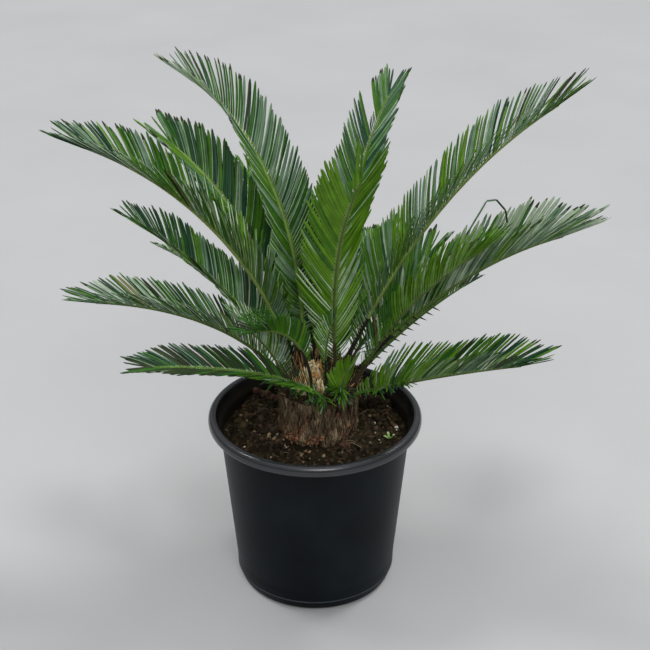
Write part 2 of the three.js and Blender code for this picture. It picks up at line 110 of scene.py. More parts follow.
KEYS = ("name", "seat_angle", "seat_radius", "heading", "foot_slope", "tip_slope", "bend", "length",
        "turn", "roll", "tip_roll", "leaflet", "lift", "bare", "closing")
USUAL = {"bare": 0.07, "closing": 0.75}
FRONDS = [  # in degrees, millimetres and shares of the frond's length
    ("front_tall", -52, 46, -60, 95, 66, 1.5, 364, 36, 28, 42, 98, 30, 0.07, 0.84),
    ("left_tall", 140, 30, 134, 88, 21, 1.5, 546, 9, 20, 0, 98, 40),
    ("right_long", 12, 44, 10, 65, 31, 1.5, 578, -1, 0, 0, 98, 45),
    ("left_long", 160, 48, 161, 79, 16, 0.85, 534, 6, -20, 4, 98, 42),
    ("back_tall", 50, 14, 67, 72, 26, 1.2, 508, 0, -4, -4, 86, 40),
    ("right_mid", 2, 62, 0, 50, 16, 1.5, 432, 0, 0, 0, 110, 55),
    ("left_upper", 136, 46, 138, 75, 24, 0.9, 452, 3, 16, 12, 98, 40),
    ("left_mid", 152, 64, 151, 56, 20, 0.7, 366, 0, 0, 0, 78, 40),
    ("left_low", 187, 64, 188, 68, 6, 0.55, 356, 0, 0, 0, 80, 45),
    ("right_low", -38, 72, -26, 26, 19, 1.1, 316, 0, 0, 0, 90, 50, 0),
    ("left_lowest", 281, 72, 197, 90, 4, 0.22, 322, -8, 18, 18, 62, 27, -0.03),
    ("right_front", -24, 64, -24, 64, 38, 1.25, 360, 0, 0, 0, 84, 40),
    ("front_left_small", 262, 64, 226, 86, 8, 1.2, 226, -2, 0, 0, 62, 45, 0.28),
    ("front_right_small", 298, 70, 304, 78, 60, 1, 70, 0, 0, 0, 52, 16, -0.1),
    ("left_inner", 212, 60, 204, 70, 43, 1, 150, 0, 0, 0, 66, 40),
    ("front_young", -78, 57, -47, 95, 67, 1.4, 128, 11, 0, 0, 38, 55, 0.3),
    ("back_right_short", 56, 52, 56, 46, 29, 1, 244, 0, 0, 0, 75, 40),
    ("right_back_short", 32, 62, 42, 44, 31, 1, 242, 0, 0, 0, 80, 40),
    ("back_inner", 98, 40, 104, 86, 66, 1, 220, 0, 0, 0, 64, 40),
    ("back_left", 112, 60, 107, 44, 14, 1, 432, 0, 0, 0, 88, 40),
    ("back", 90, 62, 90, 34, 2, 1, 418, 0, 0, 0, 88, 40),
    ("back_right_low", 72, 70, 74, 24, -6, 1, 400, 0, 0, 0, 84, 40),
    ("back_left_low", 130, 71, 127, 26, -3, 1, 396, 0, 0, 0, 80, 40),
    ("right_back_low", 16, 71, 30, 38, 16, 1, 268, 0, 0, 0, 72, 40),
]
# Shares of deep, green, fresh, bright, pale with painted glint, hazy with painted sheen and painted-shade
# dark leaflets, on a frond's left and right flank.
TONES = {
    "front_tall": ((1, 4, 6, 3, 0, 0, 0), (1, 6, 5, 1, 0, 0, 0)),
    "left_tall": ((1, 4, 4, 1, 5, 0, 0), (4, 5, 2, 0, 5, 0, 0)),
    "right_long": ((1, 3, 5, 3, 5, 1, 0), (0, 1, 5, 5, 4, 0.6, 0)),
    "left_long": ((3, 4, 4, 1, 3, 0.2, 0.3), (3, 5, 4, 2, 2, 0, 0.2)),
    "back_tall": ((5, 4, 2, 0, 3, 0, 0), (5, 4, 2, 0, 3, 0, 0)),
    "right_mid": ((0, 1, 1, 0, 3, 12, 0), (0, 1, 1, 1, 4, 11, 0)),
    "left_upper": ((0, 1, 6, 6, 4, 0, 0), (6, 7, 3, 0, 2, 0, 0)),
    "left_mid": ((3, 5, 5, 0, 1, 0, 1), (4, 5, 3, 0, 1, 0, 1)),
    "left_low": ((4, 5, 2, 0, 2, 1, 2), (4, 5, 2, 0, 2, 1, 2)),
    "right_low": ((1, 4, 6, 2, 1, 0, 1), (2, 5, 5, 0, 1, 0, 1)),
    "left_lowest": ((2, 3, 1, 0, 0, 0, 8), (4, 3, 1, 0, 0, 0, 7)),
    "right_front": ((0, 0, 4, 9, 0, 0, 0), (0, 1, 4, 8, 0, 0, 0)),
    "front_left_small": ((3, 7, 2, 0, 0, 0, 1), (4, 6, 2, 0, 0, 0, 2)),
    "front_right_small": ((0, 0, 1, 9, 0, 0, 0), (0, 0, 1, 9, 0, 0, 0)),
    "left_inner": ((0, 1, 4, 1, 6, 2, 0), (0, 1, 4, 1, 6, 2, 0)),
    "front_young": ((2, 6, 2, 0, 0, 0, 0), (2, 6, 2, 0, 0, 0, 0)),
    "right_back_low": ((4, 4, 1, 0, 0, 0, 3), (4, 4, 1, 0, 0, 0, 4)),
}
BACK_TONES = ((1, 4, 6, 2, 3, 0.3, 0), (1, 4, 6, 2, 3, 0.3, 0))
# Leaflets broader or narrower than most.
WIDTHS = {
    "left_tall": 1.02, "left_upper": 1.25, "left_long": 1.22, "left_low": 1.12, "right_mid": 1.25,
    "right_low": 1.12, "back_tall": 0.86, "right_long": 0.94, "front_right_small": 1.5, "right_back_low": 1.6,
}
BACK_WIDTH = 1.3
# Leaflets set closer than most.
PITCHES = {
    "left_long": 0.88, "left_lowest": 0.70, "front_left_small": 0.72, "left_inner": 0.85, "front_young": 0.8,
}
# Leaflets that lie closer to the midrib than most.
SWEEPS = {"front_right_small": 0.64}
# Stretches where leaflets are short: flank (0 for both), from, to, what is left of their length.
NO_GAP = (0, 0, 0, 1)
GAPS = {
    "front_tall": (1, 0.88, 0.96, 0.42),
    "back_tall": (-1, 0.80, 0.87, 0.30),
    "left_lowest": (1, 0.0, 0.30, 0.6),
    "right_back_low": (0, 0.78, 1.1, 0.45),
}
# Shares of leaflets that repeat the last one's tone, that turn yellow or brown, that end brown or in painted
# shade, and that carry painted highlight streaks.
RUN_SHARE = 0.3
YELLOW_SHARE = 0.003
BROWN_SHARE = 0.002
BROWN_TIP_SHARE = 0.05
SHADED_TIP_SHARE = 0.45
HIGHLIGHT_STREAK_SHARE = 0.4
# The share of leaflets with a painted highlight along the edge, where it isn't the usual one.
HIGHLIGHTED_EDGE_SHARE = 0.65
HIGHLIGHTED_EDGES = {
    "left_lowest": 0.1, "front_left_small": 0.1, "front_right_small": 0.1, "right_front": 0.1,
    "left_upper": 0.25, "left_mid": 0.3, "left_low": 0.5, "left_long": 0.5,
}
# Fronds whose lower leaflets carry painted highlight streaks, and how far up.
HIGHLIGHT_STREAKS = {"front_tall": 0.62, "left_inner": 1.0, "front_young": 1.0, "right_long": 0.4}
# Fronds with fresher leaflets near the foot, with painted shade on leaflets toward the tip, with no yellow or
# brown ones, and with light midribs.
FRESH_FEET = ("left_upper", "left_long", "left_low", "right_long", "right_low")
SHADED_ENDS = ("left_long", "left_low", "left_tall", "left_mid", "right_long", "right_low")
SOUND = ("front_tall", "right_front", "right_low")
LIGHT_RIBS = ("left_tall", "left_upper", "left_long", "right_long")
# How far up the right flank short hard spines stand, and how far up it has no leaflets.
SPINY = {"right_mid": (0.33, 0.33), "right_front": (0.40, 0.40), "right_back_low": (0.66, 0.90)}
# Short leaflets at the foot of a frond, hanging or standing: how many, how far along, length, heading, slope.
SKIRTS = [
    ("left_lowest", 70, (0.0, 0.34), (0.018, 0.036), -118, (-36, 8)),
    ("front_right_small", 34, (0.0, 0.30), (0.018, 0.034), -84, (-36, 8)),
    ("front_right_small", 40, (0.0, 0.25), (0.022, 0.038), 172, (10, 62)),
    ("right_low", 30, (0.04, 0.34), (0.014, 0.028), -60, (-36, 8)),
    ("back_left_low", 50, (0.0, 0.05), (0.045, 0.070), 30, (50, 85)),
    ("back_inner", 44, (0.0, 0.20), (0.035, 0.055), 180, (20, 75)),
    ("right_back_short", 40, (0.05, 0.45), (0.030, 0.050), 30, (10, 70)),
    ("back_right_short", 36, (0.0, 0.25), (0.035, 0.060), 40, (45, 85)),
]

# ---------------------------------------------------------------- camera


def show(name, data):
    thing = bpy.data.objects.new(name, data)
    scene.collection.objects.link(thing)
    return thing


SENSOR_WIDTH = 36
FOCAL_PIXELS = 1333
PICTURE_PIXELS = 650
CAMERA_PLACE = (0, -2.043, 1.551)
CAMERA_TILT = 27.12
CAMERA_TURN = -0.5
camera_data = bpy.data.cameras.new("camera")
camera_data.sensor_width = SENSOR_WIDTH
camera_data.lens = SENSOR_WIDTH * FOCAL_PIXELS / PICTURE_PIXELS
camera_data.clip_start = 0.05
camera_data.clip_end = 100
camera = show("camera", camera_data)
camera.location = CAMERA_PLACE
camera.rotation_euler = (math.radians(90 - CAMERA_TILT), 0, math.radians(CAMERA_TURN))
scene.camera = camera

# ---------------------------------------------------------------- materials

# Grains: fineness, relief and the relief's fineness. A leaf's has its tint first, and bark's is drawn out
# along +Z.
LEAF_GRAIN = (0.2, 55, 0.2, 900)
BARK_GRAIN = (160, 0.8, 600, (1, 1, 0.12))
WOOL_GRAIN = (160, 0.9, 700)
RAMP_ENDS = (0.32, 0.68)
RELIEF_DEPTH = 0.001


def filled(node, **values):
    """Sets constants on a node's own sockets, whose names have _ for a space here."""
    for name, value in values.items():
        node.inputs[name.replace("_", " ")].default_value = value
    return node


def ramp_of(tree, *ends):
    """A colour ramp between two ends, each a position and a colour."""
    ramp = tree.nodes.new("ShaderNodeValToRGB")
    for element, (position, color) in zip(ramp.color_ramp.elements, ends):
        element.position = position
        element.color = (*color, 1)
    return ramp


def wire(tree, *rows):
    """Links nodes by rows of a node, its output, the next node and its socket."""
    for source, output, target, socket in rows:
        tree.links.new(source.outputs[output], target.inputs[socket])


def finish_of(name, color, roughness, tint, scale, bump, bump_scale, stretch=(1, 1, 1), rough_play=0.0,
              specular=0.5):
    """A procedural finish: its colour, roughness and small relief vary with noise."""
    material = bpy.data.materials.new(name)
    material.use_nodes = True
    tree = material.node_tree
    shader = filled(tree.nodes["Principled BSDF"], Base_Color=(*color, 1), Roughness=roughness,
                    Specular_IOR_Level=specular)
    place = tree.nodes.new("ShaderNodeTexCoord")
    mapping = filled(tree.nodes.new("ShaderNodeMapping"), Scale=stretch)
    grain = filled(tree.nodes.new("ShaderNodeTexNoise"), Scale=scale, Detail=6)
    fine = filled(tree.nodes.new("ShaderNodeTexNoise"), Scale=bump_scale, Detail=5)
    relief = filled(tree.nodes.new("ShaderNodeBump"), Strength=bump, Distance=RELIEF_DEPTH)
    darker, lighter = [c * (1 - tint) for c in color], [min(1, c * (1 + tint)) for c in color]
    ramp = ramp_of(tree, *zip(RAMP_ENDS, (darker, lighter)))
    wire(tree, (place, "Object", mapping, "Vector"), (mapping, "Vector", grain, "Vector"),
         (mapping, "Vector", fine, "Vector"), (grain, "Fac", ramp, "Fac"), (fine, "Fac", relief, "Height"),
         (ramp, "Color", shader, "Base Color"), (relief, "Normal", shader, "Normal"))
    if rough_play:
        spread = filled(tree.nodes.new("ShaderNodeMapRange"), To_Min=roughness - rough_play,
                        To_Max=roughness + rough_play)
        wire(tree, (grain, "Fac", spread, "Value"), (spread, "Result", shader, "Roughness"))
    return material


def leaf_finishes(rows):
    return [finish_of(*row, *LEAF_GRAIN, rough_play=0.06, specular=0.2) for row in rows]


def matt_finishes(grain, rows):
    return [finish_of(*row, *grain, specular=specular) for *row, specular in rows]


DEEP, GREEN, FRESH, BRIGHT, PALE_AND_GLINT, BLOOM_AND_SHEEN, DARK_AND_SHADE, YELLOW, BROWN, ROOT, EDGE_HIGHLIGHT = range(11)
LEAF = leaf_finishes([
    ("leaf_deep", (0.017, 0.068, 0.026), 0.36),
    ("leaf_green", (0.030, 0.112, 0.012), 0.36),
    ("leaf_fresh", (0.054, 0.160, 0.008), 0.36),
    ("leaf_bright", (0.095, 0.220, 0.010), 0.36),
    # Pale green, partly the leaflet's own tone and partly a painted glint of light.
    ("leaf_pale", (0.128, 0.225, 0.125), 0.36),
    # Whitish green, partly a waxy bloom and partly a painted sheen of light from above.
    ("leaf_haze", (0.330, 0.430, 0.280), 0.45),
    # A dark green that is painted shade on leaflets in shadow; the hard spines take this colour too.
    ("leaf_dark", (0.024, 0.040, 0.011), 0.5),
    ("leaf_yellow", (0.210, 0.205, 0.070), 0.5),
    ("leaf_brown", (0.110, 0.070, 0.032), 0.6),
    ("leaf_root", (0.150, 0.240, 0.050), 0.45),
    # The edge finish is a painted highlight: a pale glint laid along a leaflet's edge or in streaks.
    ("leaf_edge", (0.430, 0.530, 0.370), 0.4),
])
# The finish of a leaflet's back, by that of its face.
UNDER = np.array([GREEN, FRESH, BRIGHT, BRIGHT, PALE_AND_GLINT, BLOOM_AND_SHEEN, DARK_AND_SHADE, YELLOW, BROWN, ROOT, EDGE_HIGHLIGHT])
# Single leaflets that have turned: share of the frond, flank, finish.
TURNED = {"left_low": ((0.76, 1, YELLOW), (0.775, 1, YELLOW)), "back_tall": ((0.80, 1, BLOOM_AND_SHEEN),)}
# A midrib's back has the finish after that of its face.
RIB_LIGHT, RIB_GREEN, RIB_BROWN, RIB_DARK = 0, 2, 4, 5
RIB = leaf_finishes([
    ("rib_light", (0.190, 0.310, 0.070), 0.42),
    ("rib_light_back", (0.180, 0.230, 0.060), 0.42),
    ("rib_green", (0.070, 0.140, 0.022), 0.42),
    ("rib_green_back", (0.080, 0.120, 0.028), 0.42),
    ("rib_brown", (0.050, 0.038, 0.018), 0.55),
    ("rib_dark", (0.018, 0.014, 0.010), 0.6),
])
# The finish of a midrib's foot, and the share of the frond that it covers.
USUAL_FOOT = (RIB_BROWN, 0.10)
FEET = {
    "front_left_small": (RIB_DARK, 0.42), "front_young": (RIB_DARK, 0.35), "front_tall": (RIB_BROWN, 0.16),
    "right_long": (RIB_DARK, 0.14), "right_mid": (RIB_DARK, 0.20), "left_lowest": (RIB_GREEN, 0.12),
    "right_low": (RIB_GREEN, 0.12),
}
BARK_BROWN, BARK_DARK, BARK_RED, BARK_TAN, BARK_GREY = range(5)
BARK = matt_finishes(BARK_GRAIN, [
    ("bark_brown", (0.190, 0.130, 0.074), 0.9, 0.45, 0.15),
    ("bark_dark", (0.034, 0.022, 0.013), 0.95, 0.4, 0.1),
    ("bark_red", (0.205, 0.105, 0.058), 0.9, 0.4, 0.15),
    ("bark_tan", (0.400, 0.300, 0.180), 0.9, 0.35, 0.15),
    ("bark_grey", (0.270, 0.220, 0.135), 0.9, 0.35, 0.15),
])
WOOL_TAN, WOOL_CREAM, WOOL_ORANGE, WOOL_BROWN = range(4)
WOOL = matt_finishes(WOOL_GRAIN, [
    ("wool_tan", (0.500, 0.330, 0.160), 0.9, 0.35, 0.15),
    ("wool_cream", (0.920, 0.740, 0.480), 0.9, 0.25, 0.15),
    ("wool_orange", (0.680, 0.340, 0.110), 0.9, 0.35, 0.15),
    ("wool_brown", (0.050, 0.034, 0.020), 0.95, 0.4, 0.1),
])
SOIL_DARK, SOIL_BROWN, SOIL_RED, CHIP_ORANGE, CHIP_TAN, GRIT = range(6)
SOIL = [
    finish_of("soil_dark", (0.019, 0.014, 0.007), 0.95, 0.55, 45, 1.0, 350, specular=0.1),
    finish_of("soil_brown", (0.052, 0.037, 0.020), 0.95, 0.45, 80, 1.0, 500, specular=0.1),
    finish_of("soil_red", (0.094, 0.048, 0.032), 0.9, 0.35, 90, 1.0, 500, specular=0.1),
    finish_of("chip_orange", (0.300, 0.150, 0.075), 0.85, 0.4, 120, 0.8, 600, specular=0.15),
    finish_of("chip_tan", (0.270, 0.190, 0.110), 0.85, 0.3, 120, 0.8, 600, specular=0.15),
    finish_of("grit_pale", (0.560, 0.520, 0.440), 0.8, 0.15, 200, 0.5, 900, specular=0.2),
]
POT_OUTSIDE, POT_RIM, POT_INSIDE, POT_BEAD_HIGHLIGHT = range(4)
POT = [
    finish_of("pot_wall", (0.0028, 0.0056, 0.0080), 0.42, 0.7, 9, 0.25, 700, rough_play=0.1, specular=0.12),
    finish_of("pot_rim", (0.013, 0.014, 0.017), 0.24, 0.2, 30, 0.15, 600, rough_play=0.05, specular=0.7),
    finish_of("pot_inside", (0.014, 0.011, 0.007), 0.6, 0.35, 30, 0.3, 600, specular=0.2),
    # The bead's lighter finish is a painted highlight: a thin bright line round the pot's foot.
    finish_of("pot_bead_highlight", (0.034, 0.040, 0.046), 0.4, 0.3, 30, 0.2, 600, specular=0.4),
]
SPROUT = [finish_of("sprout_green", (0.330, 0.520, 0.160), 0.5, 0.2, 200, 0.2, 900)]

# ---------------------------------------------------------------- meshes


def unit(v):
    return v / np.maximum(np.linalg.norm(v, axis=-1, keepdims=True), 1e-12)


def ease(x, low, high):
    t = np.clip((x - low) / (high - low), 0, 1)
    return t * t * (3 - 2 * t)


def mix(a, b, t):
    return a + (b - a) * t


def evenly(count):
    return (np.arange(count) + 0.5) / count


def spiral(count, start=0.0):
    """Angles one golden turn after another."""
    return (np.arange(count) * math.radians(GOLDEN_TURN) + start) % math.tau


def around_z(sides):
    return np.linspace(0, math.tau, sides, endpoint=False)


def spokes(angle):
    """Level unit vectors outward and sideways at angles round +Z."""
    level = np.zeros_like(angle)
    return (np.stack([np.cos(angle), np.sin(angle), level], -1),
            np.stack([-np.sin(angle), np.cos(angle), level], -1))


def tilted(heading, slope):
    """Unit vectors that rise at a slope toward a heading, and those square to them, up from their face."""
    out, _ = spokes(heading)
    rise, run = np.sin(slope)[..., None], np.cos(slope)[..., None]
    return out * run + UPWARD * rise, UPWARD * run - out * rise


def build(name, node, slot, finishes, points, quads, quad_kinds, tris=(), tri_kinds=(), smooth=True):
    """One shown piece from arrays of points and faces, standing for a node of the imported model."""
    mesh = bpy.data.meshes.new(name)
    mesh.vertices.add(len(points))
    mesh.vertices.foreach_set("co", np.asarray(points, dtype=np.float32).ravel())
    corners = np.concatenate([np.ravel(quads), np.ravel(tris)]).astype(np.int32)
    mesh.loops.add(len(corners))
    mesh.loops.foreach_set("vertex_index", corners)
    starts = np.concatenate([np.arange(len(quads)) * 4, len(quads) * 4 + np.arange(len(tris)) * 3])
    mesh.polygons.add(len(starts))
    mesh.polygons.foreach_set("loop_start", starts.astype(np.int32))
    mesh.polygons.foreach_set("material_index", np.concatenate([quad_kinds, tri_kinds]).astype(np.int32))
    mesh.polygons.foreach_set("use_smooth", np.full(len(starts), smooth))
    for finish in finishes:
        mesh.materials.append(finish)
    mesh.update(calc_edges=True)
    mesh.validate()
    piece = show(name, mesh)
    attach(piece, "root")
    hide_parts(node)


def faces_between(rings, sides):
    """Four-sided faces between rings of points, ring after ring, each closed round."""
    ring, side = np.meshgrid(np.arange(rings - 1), np.arange(sides), indexing="ij")
    after = (side + 1) % sides
    return np.stack([ring * sides + side, ring * sides + after, (ring + 1) * sides + after,
                     (ring + 1) * sides + side], -1).reshape(-1, 4)


def build_rings(name, node, slot, finishes, rings, kinds):
    """A piece of closed rings of points, with a finish for each face between two rings."""
    build(name, node, slot, finishes, rings.reshape(-1, 3), faces_between(*rings.shape[:2]), np.ravel(kinds))


class Batch:
    """Many blades of one kind, joined in one piece."""

    def __init__(self):
        self.parts, self.count = [], 0

    def skin(self, centres, across, normal, section, wide, high, tips, finish):
        """Sweeps a closed section along n centre lines of k rings, each drawn to a tip. The finish is one for
        all, one for each line, or a function of the line, the ring and the place round the section."""
        n, k, _ = centres.shape
        s = len(section)
        rings = (centres[:, :, None]
                 + across[:, :, None] * (section[:, 0] * wide[..., None])[..., None]
                 + normal[:, :, None] * (section[:, 1] * high[..., None])[..., None])
        points = np.concatenate([rings.reshape(n, k * s, 3), tips[:, None]], axis=1)
        place = np.arange(s)
        to_tip = np.stack([place, (place + 1) % s, np.full(s, s)], -1) + (k - 1) * s
        line = np.arange(n)[:, None]
        first = line[..., None] * (k * s + 1) + self.count

        def kinds(ring, place):
            at = np.broadcast_arrays(line, ring, place)
            return (finish(*at) if callable(finish) else np.broadcast_to(finish, n)[at[0]]).ravel()

        self.parts.append((points.reshape(-1, 3), (faces_between(k, s) + first).reshape(-1, 4),
                           kinds(*np.divmod(np.arange((k - 1) * s), s)),
                           (to_tip + first).reshape(-1, 3), kinds(k - 1, place)))
        self.count += n * (k * s + 1)

    def blades(self, form, roots, tips, across, half_wide, half_high, finish, bends=None, twist=0.0):
        """Blades from roots to tips by way of bends, all at once. A form is a section, the steps along the
        blade at which it stands, and its breadth at each."""
        section, steps, outline = form
        n = len(roots)
        t = np.asarray(steps)[None, :, None]
        r, e = roots[:, None], tips[:, None]
        c = ((roots + tips) / 2 if bends is None else bends)[:, None]
        a = np.broadcast_to(across, roots.shape)[:, None]
        centres = (1 - t) ** 2 * r + 2 * t * (1 - t) * c + t ** 2 * e
        tangent = unit(2 * (1 - t) * (c - r) + 2 * t * (e - c))
        level = unit(a - tangent * (a * tangent).sum(-1, keepdims=True))
        normal = np.cross(level, tangent)
        turn = np.broadcast_to(twist, n)[:, None, None]
        wide, high = (np.broadcast_to(half, n)[:, None] * outline for half in (half_wide, half_high))
        self.skin(centres, level * np.cos(turn) + normal * np.sin(turn),
                  normal * np.cos(turn) - level * np.sin(turn), section, wide, high, tips, finish)

    def piece(self, name, node, slot, finishes):
        build(name, node, slot, finishes, *map(np.concatenate, zip(*self.parts)))


def build_blades(name, node, slot, finishes, *blades):
    batch = Batch()
    batch.blades(*blades)
    batch.piece(name, node, slot, finishes)


# ---------------------------------------------------------------- the frond's rule


def seat_point(f):
    radius = f["seat_radius"] / 1000
    height = CROWN_HEIGHT * math.sqrt(1 - (radius / CROWN_RADIUS) ** 2)
    normal = np.array([radius / CROWN_RADIUS ** 2, height / CROWN_HEIGHT ** 2])
    normal *= SEAT_RISE / np.linalg.norm(normal)
    angle = math.radians(f["seat_angle"])
    out = radius + normal[0]
    return np.array([TRUNK_X + out * math.cos(angle), out * math.sin(angle),
                     TRUNK_TOP + SEAT_GAP + height + normal[1]])


def directions(f, share):
    """Directions at shares of the midrib: along it, up from its face, and to its right."""
    share = np.asarray(share, dtype=float)
    slope = np.radians(f["foot_slope"] + (f["tip_slope"] - f["foot_slope"]) * share ** f["bend"])
    along, up = tilted(np.radians(f["heading"] + f["turn"] * share), slope)
    roll = np.radians(mix(f["roll"], f["tip_roll"], ease(share, 0.45, 0.75)))[..., None]
    up = up * np.cos(roll) - np.cross(along, up) * np.sin(roll)
    return along, up, np.cross(along, up)


def midrib_points(f):
    along, _, _ = directions(f, (np.arange(AXIS_STEPS) + 0.5) / AXIS_STEPS)
    steps = np.cumsum(along * (f["length"] / 1000 / AXIS_STEPS), axis=0)
    return np.concatenate([[seat_point(f)], seat_point(f) + steps])


def midrib_at(f, share):
    place = np.asarray(share, dtype=float) * AXIS_STEPS
    index = np.clip(np.floor(place).astype(int), 0, AXIS_STEPS - 1)
    part = (place - index)[..., None]
    return f["points"][index] * (1 - part) + f["points"][index + 1] * part


def leaflet_length(f, share):
    grown = ease(share, f["bare"] - 0.03, f["bare"] + 0.23)
    return f["leaflet"] / 1000 * (0.15 + 0.85 * grown * (1 - 0.18 * ease(share, f["closing"] - 0.05, 1)))


def leaflet_sweep(f, share):
    return np.radians(60 - 22 * ease(share, 0.05, 0.4) - 18 * ease(share, f["closing"], 1))


def leaflet_lift(f, share):
    return np.radians(f["lift"] * (1 - 0.25 * ease(share, 0.8, 1)))


def pointed(f, share, hand, sweep, lift):
    """The direction of a leaflet from its sweep off the midrib and its lift over the flanks."""
    along, up, side = directions(f, share)
    return (along * np.cos(sweep)[..., None]
            + side * (hand * np.cos(lift) * np.sin(sweep))[..., None]
            + up * (np.sin(lift) * np.sin(sweep))[..., None])


class Room:
    """The stretches that leaflets keep clear of, each with a half width at its root and at its tip."""

    def __init__(self, root, tip, width):
        self.root, self.tip, self.width = root, tip, width
        self.middle = (root + tip) / 2
        self.reach = np.linalg.norm(tip - root, axis=1) / 2 + width[:, 0]

    def is_clear(self, root, tip, width):
        middle, reach = (root + tip) / 2, np.linalg.norm(tip - root) / 2 + width[0]
        near = np.linalg.norm(self.middle - middle, axis=1) <= reach + self.reach + CLEARANCE
        if not near.any():
            return True
        b_root, b_tip, b_width = self.root[near], self.tip[near], self.width[near]
        along, across, between = tip - root, b_tip - b_root, root - b_root
        aa, bb, ab = along @ along, (across ** 2).sum(1), across @ along
        ac, bc = between @ along, (across * between).sum(1)
        spread = aa * bb - ab ** 2
        s = np.clip(np.where(spread > 1e-15, (ab * bc - ac * bb) / np.maximum(spread, 1e-15), 0), 0, 1)
        t = np.clip((ab * s + bc) / bb, 0, 1)
        s = np.clip((ab * t - ac) / aa, 0, 1)
        apart = np.linalg.norm(between + along * s[:, None] - across * t[:, None], axis=1)
        return bool((apart - mix(*width, s) - mix(b_width[:, 0], b_width[:, 1], t) > CLEARANCE).all())


def joined(rooms):
    return Room(*map(np.concatenate, zip(*((room.root, room.tip, room.width) for room in rooms))))


def rib_room(f):
    shares = np.linspace(0, 1, RIB_ROOM_PLACES)
    points = midrib_at(f, shares)
    points[0] = f["seat_back"]
    width = f["girth"] * mix(*RIB_ROOM, shares[:-1])
    return Room(points[:-1], points[1:], np.stack([width, width], 1))


def make_frond(index, row):
    f = {**USUAL, **dict(zip(KEYS, row))}
    f["girth"] = min(1, max(0.6, 0.5 + f["length"] / 1000))
    f["start"] = max(f["bare"], 0.02)
    f["points"] = midrib_points(f)
    f["seat_back"] = f["points"][0] - directions(f, 0.0)[0] * SEAT_DEPTH
    f["room"] = rib_room(f)
    f["random"] = np.random.default_rng(1000 + index)
    f["tones"] = np.array(TONES.get(f["name"], BACK_TONES), dtype=float)
    return f


def grow_leaflets(f, others):
    """Sets leaflets out by the rule. One that would touch something is cut shorter or left out."""
    random, name, start = f["random"], f["name"], f["start"]
    pairs = round(f["length"] / 1000 * (1 - start) / (LEAFLET_PITCH * PITCHES.get(name, 1)))
    count = 2 * pairs
    share = np.repeat(start + (1 - start) * (np.arange(pairs) + 0.5) / pairs, 2)
    share = share + random.uniform(-PLACE_PLAY, PLACE_PLAY, count) * (1 - start) / pairs
    hand = np.tile([-1.0, 1.0], pairs)
    reach = leaflet_length(f, share) * random.uniform(0.94, 1.06, count)
    if f["leaflet"] > SHORT_LEAFLET and f["bare"] > 0:
        least = 0.5 if name in TONES else 0.8
        reach = np.maximum(reach, f["leaflet"] / 1000 * least * ease(share, 0.02, 0.12))
    flank, low, high, left = GAPS.get(name, NO_GAP)
    short = ((flank == 0) | (hand == flank)) & (share > low) & (share < high)
    reach = np.where(short, reach * left, reach)
    sweep = leaflet_sweep(f, share) + np.radians(random.normal(0, SWEEP_PLAY, count))
    sweep = sweep * SWEEPS.get(name, 1)
    lift = leaflet_lift(f, share) + np.radians(random.normal(0, LIFT_PLAY, count))
    root = midrib_at(f, share)
    toward = pointed(f, share, hand, sweep, lift)

    def cut_of(i):
        clear = (cut for cut in LEAFLET_CUTS
                 if others.is_clear(root[i], root[i] + toward[i] * reach[i] * cut, LEAFLET_ROOM))
        return next(clear, 0)

    cuts = np.array([cut_of(i) for i in range(count)])
    reach = reach * cuts
    rows = (share, hand, sweep, lift, reach, root, root + toward * reach[:, None])
    f["leaflets"] = [values[cuts > 0] for values in rows]
    root, tip = f["leaflets"][-2:]
    return Room(root, tip, np.tile(LEAFLET_ROOM, (len(root), 1)))


fronds = [make_frond(index, row) for index, row in enumerate(FRONDS)]
placed = []
for f in fronds:
    placed.append(grow_leaflets(f, joined([other["room"] for other in fronds if other is not f] + placed)))

# ---------------------------------------------------------------- leaflets and midribs

# Sections with their face at the first four places, and the forms of blades.
BLADE = np.array([(-1, -0.34), (-0.6, 0.02), (0, -0.06), (0.6, 0.02), (1, -0.34), (0.55, -0.2), (0, -0.42),
                  (-0.55, -0.2)])
SLIVER = BLADE[::2]
RIB_SECTION = np.array([(-1, -0.12), (-0.72, 0.1), (0, -0.05), (0.72, 0.1), (1, -0.12), (0.86, -0.5),
                        (0.45, -0.9), (0, -1), (-0.45, -0.9), (-0.86, -0.5)])
FACE_PLACES = 4
# Places round a leaflet's section that take the painted highlight, at the edges and in streaks.
EDGE_PLACES = (0, 7)
HIGHLIGHT_STREAK_PLACES = (0, 1, 6, 7)
TIP_RING = 7
# Half widths and depths of a midrib at its foot and tip, and how far out its leaflets stand there.
RIB_WIDE = (0.0038, 0.0011)
RIB_HIGH = (0.0068, 0.0026)
RIB_FLANKS = (0.00365, 0.00115)
BLADE_STEPS = (0, 0.06, 0.16, 0.34, 0.56, 0.76, 0.88, 0.95, 0.985)
LEAFLET_FORM = (BLADE, BLADE_STEPS, (0.55, 0.78, 0.97, 1, 1, 0.97, 0.86, 0.6, 0.28))
BROKEN_FORM = (BLADE, BLADE_STEPS, (0.8, 1, 1, 1, 1, 1, 1, 0.9, 0.8))
SEEDLING_FORM = (BLADE, BLADE_STEPS, (0.3, 0.4, 0.7, 0.95, 1, 0.95, 0.75, 0.5, 0.25))
SPINE_FORM = (SLIVER, (0, 0.4, 0.8), (1, 0.7, 0.3))
STRAND_FORM = (SLIVER, (0, 0.25, 0.5, 0.75, 0.95), (0.8, 1, 1, 0.9, 0.4))
FIBRE_FORM = (SLIVER, (0, 0.3, 0.65, 0.95), (0.8, 1, 0.8, 0.3))
HAIR_FORM = (SLIVER, (0, 0.35, 0.7, 0.95), (1, 0.9, 0.7, 0.3))
STUB_FORM = (BLADE, (0, 0.2, 0.45, 0.7, 0.88, 0.97), (0.9, 1, 0.95, 0.75, 0.5, 0.3))
STUB_END_RING = 4
SCALE_STEPS = (0, 0.15, 0.35, 0.55, 0.75, 0.92)
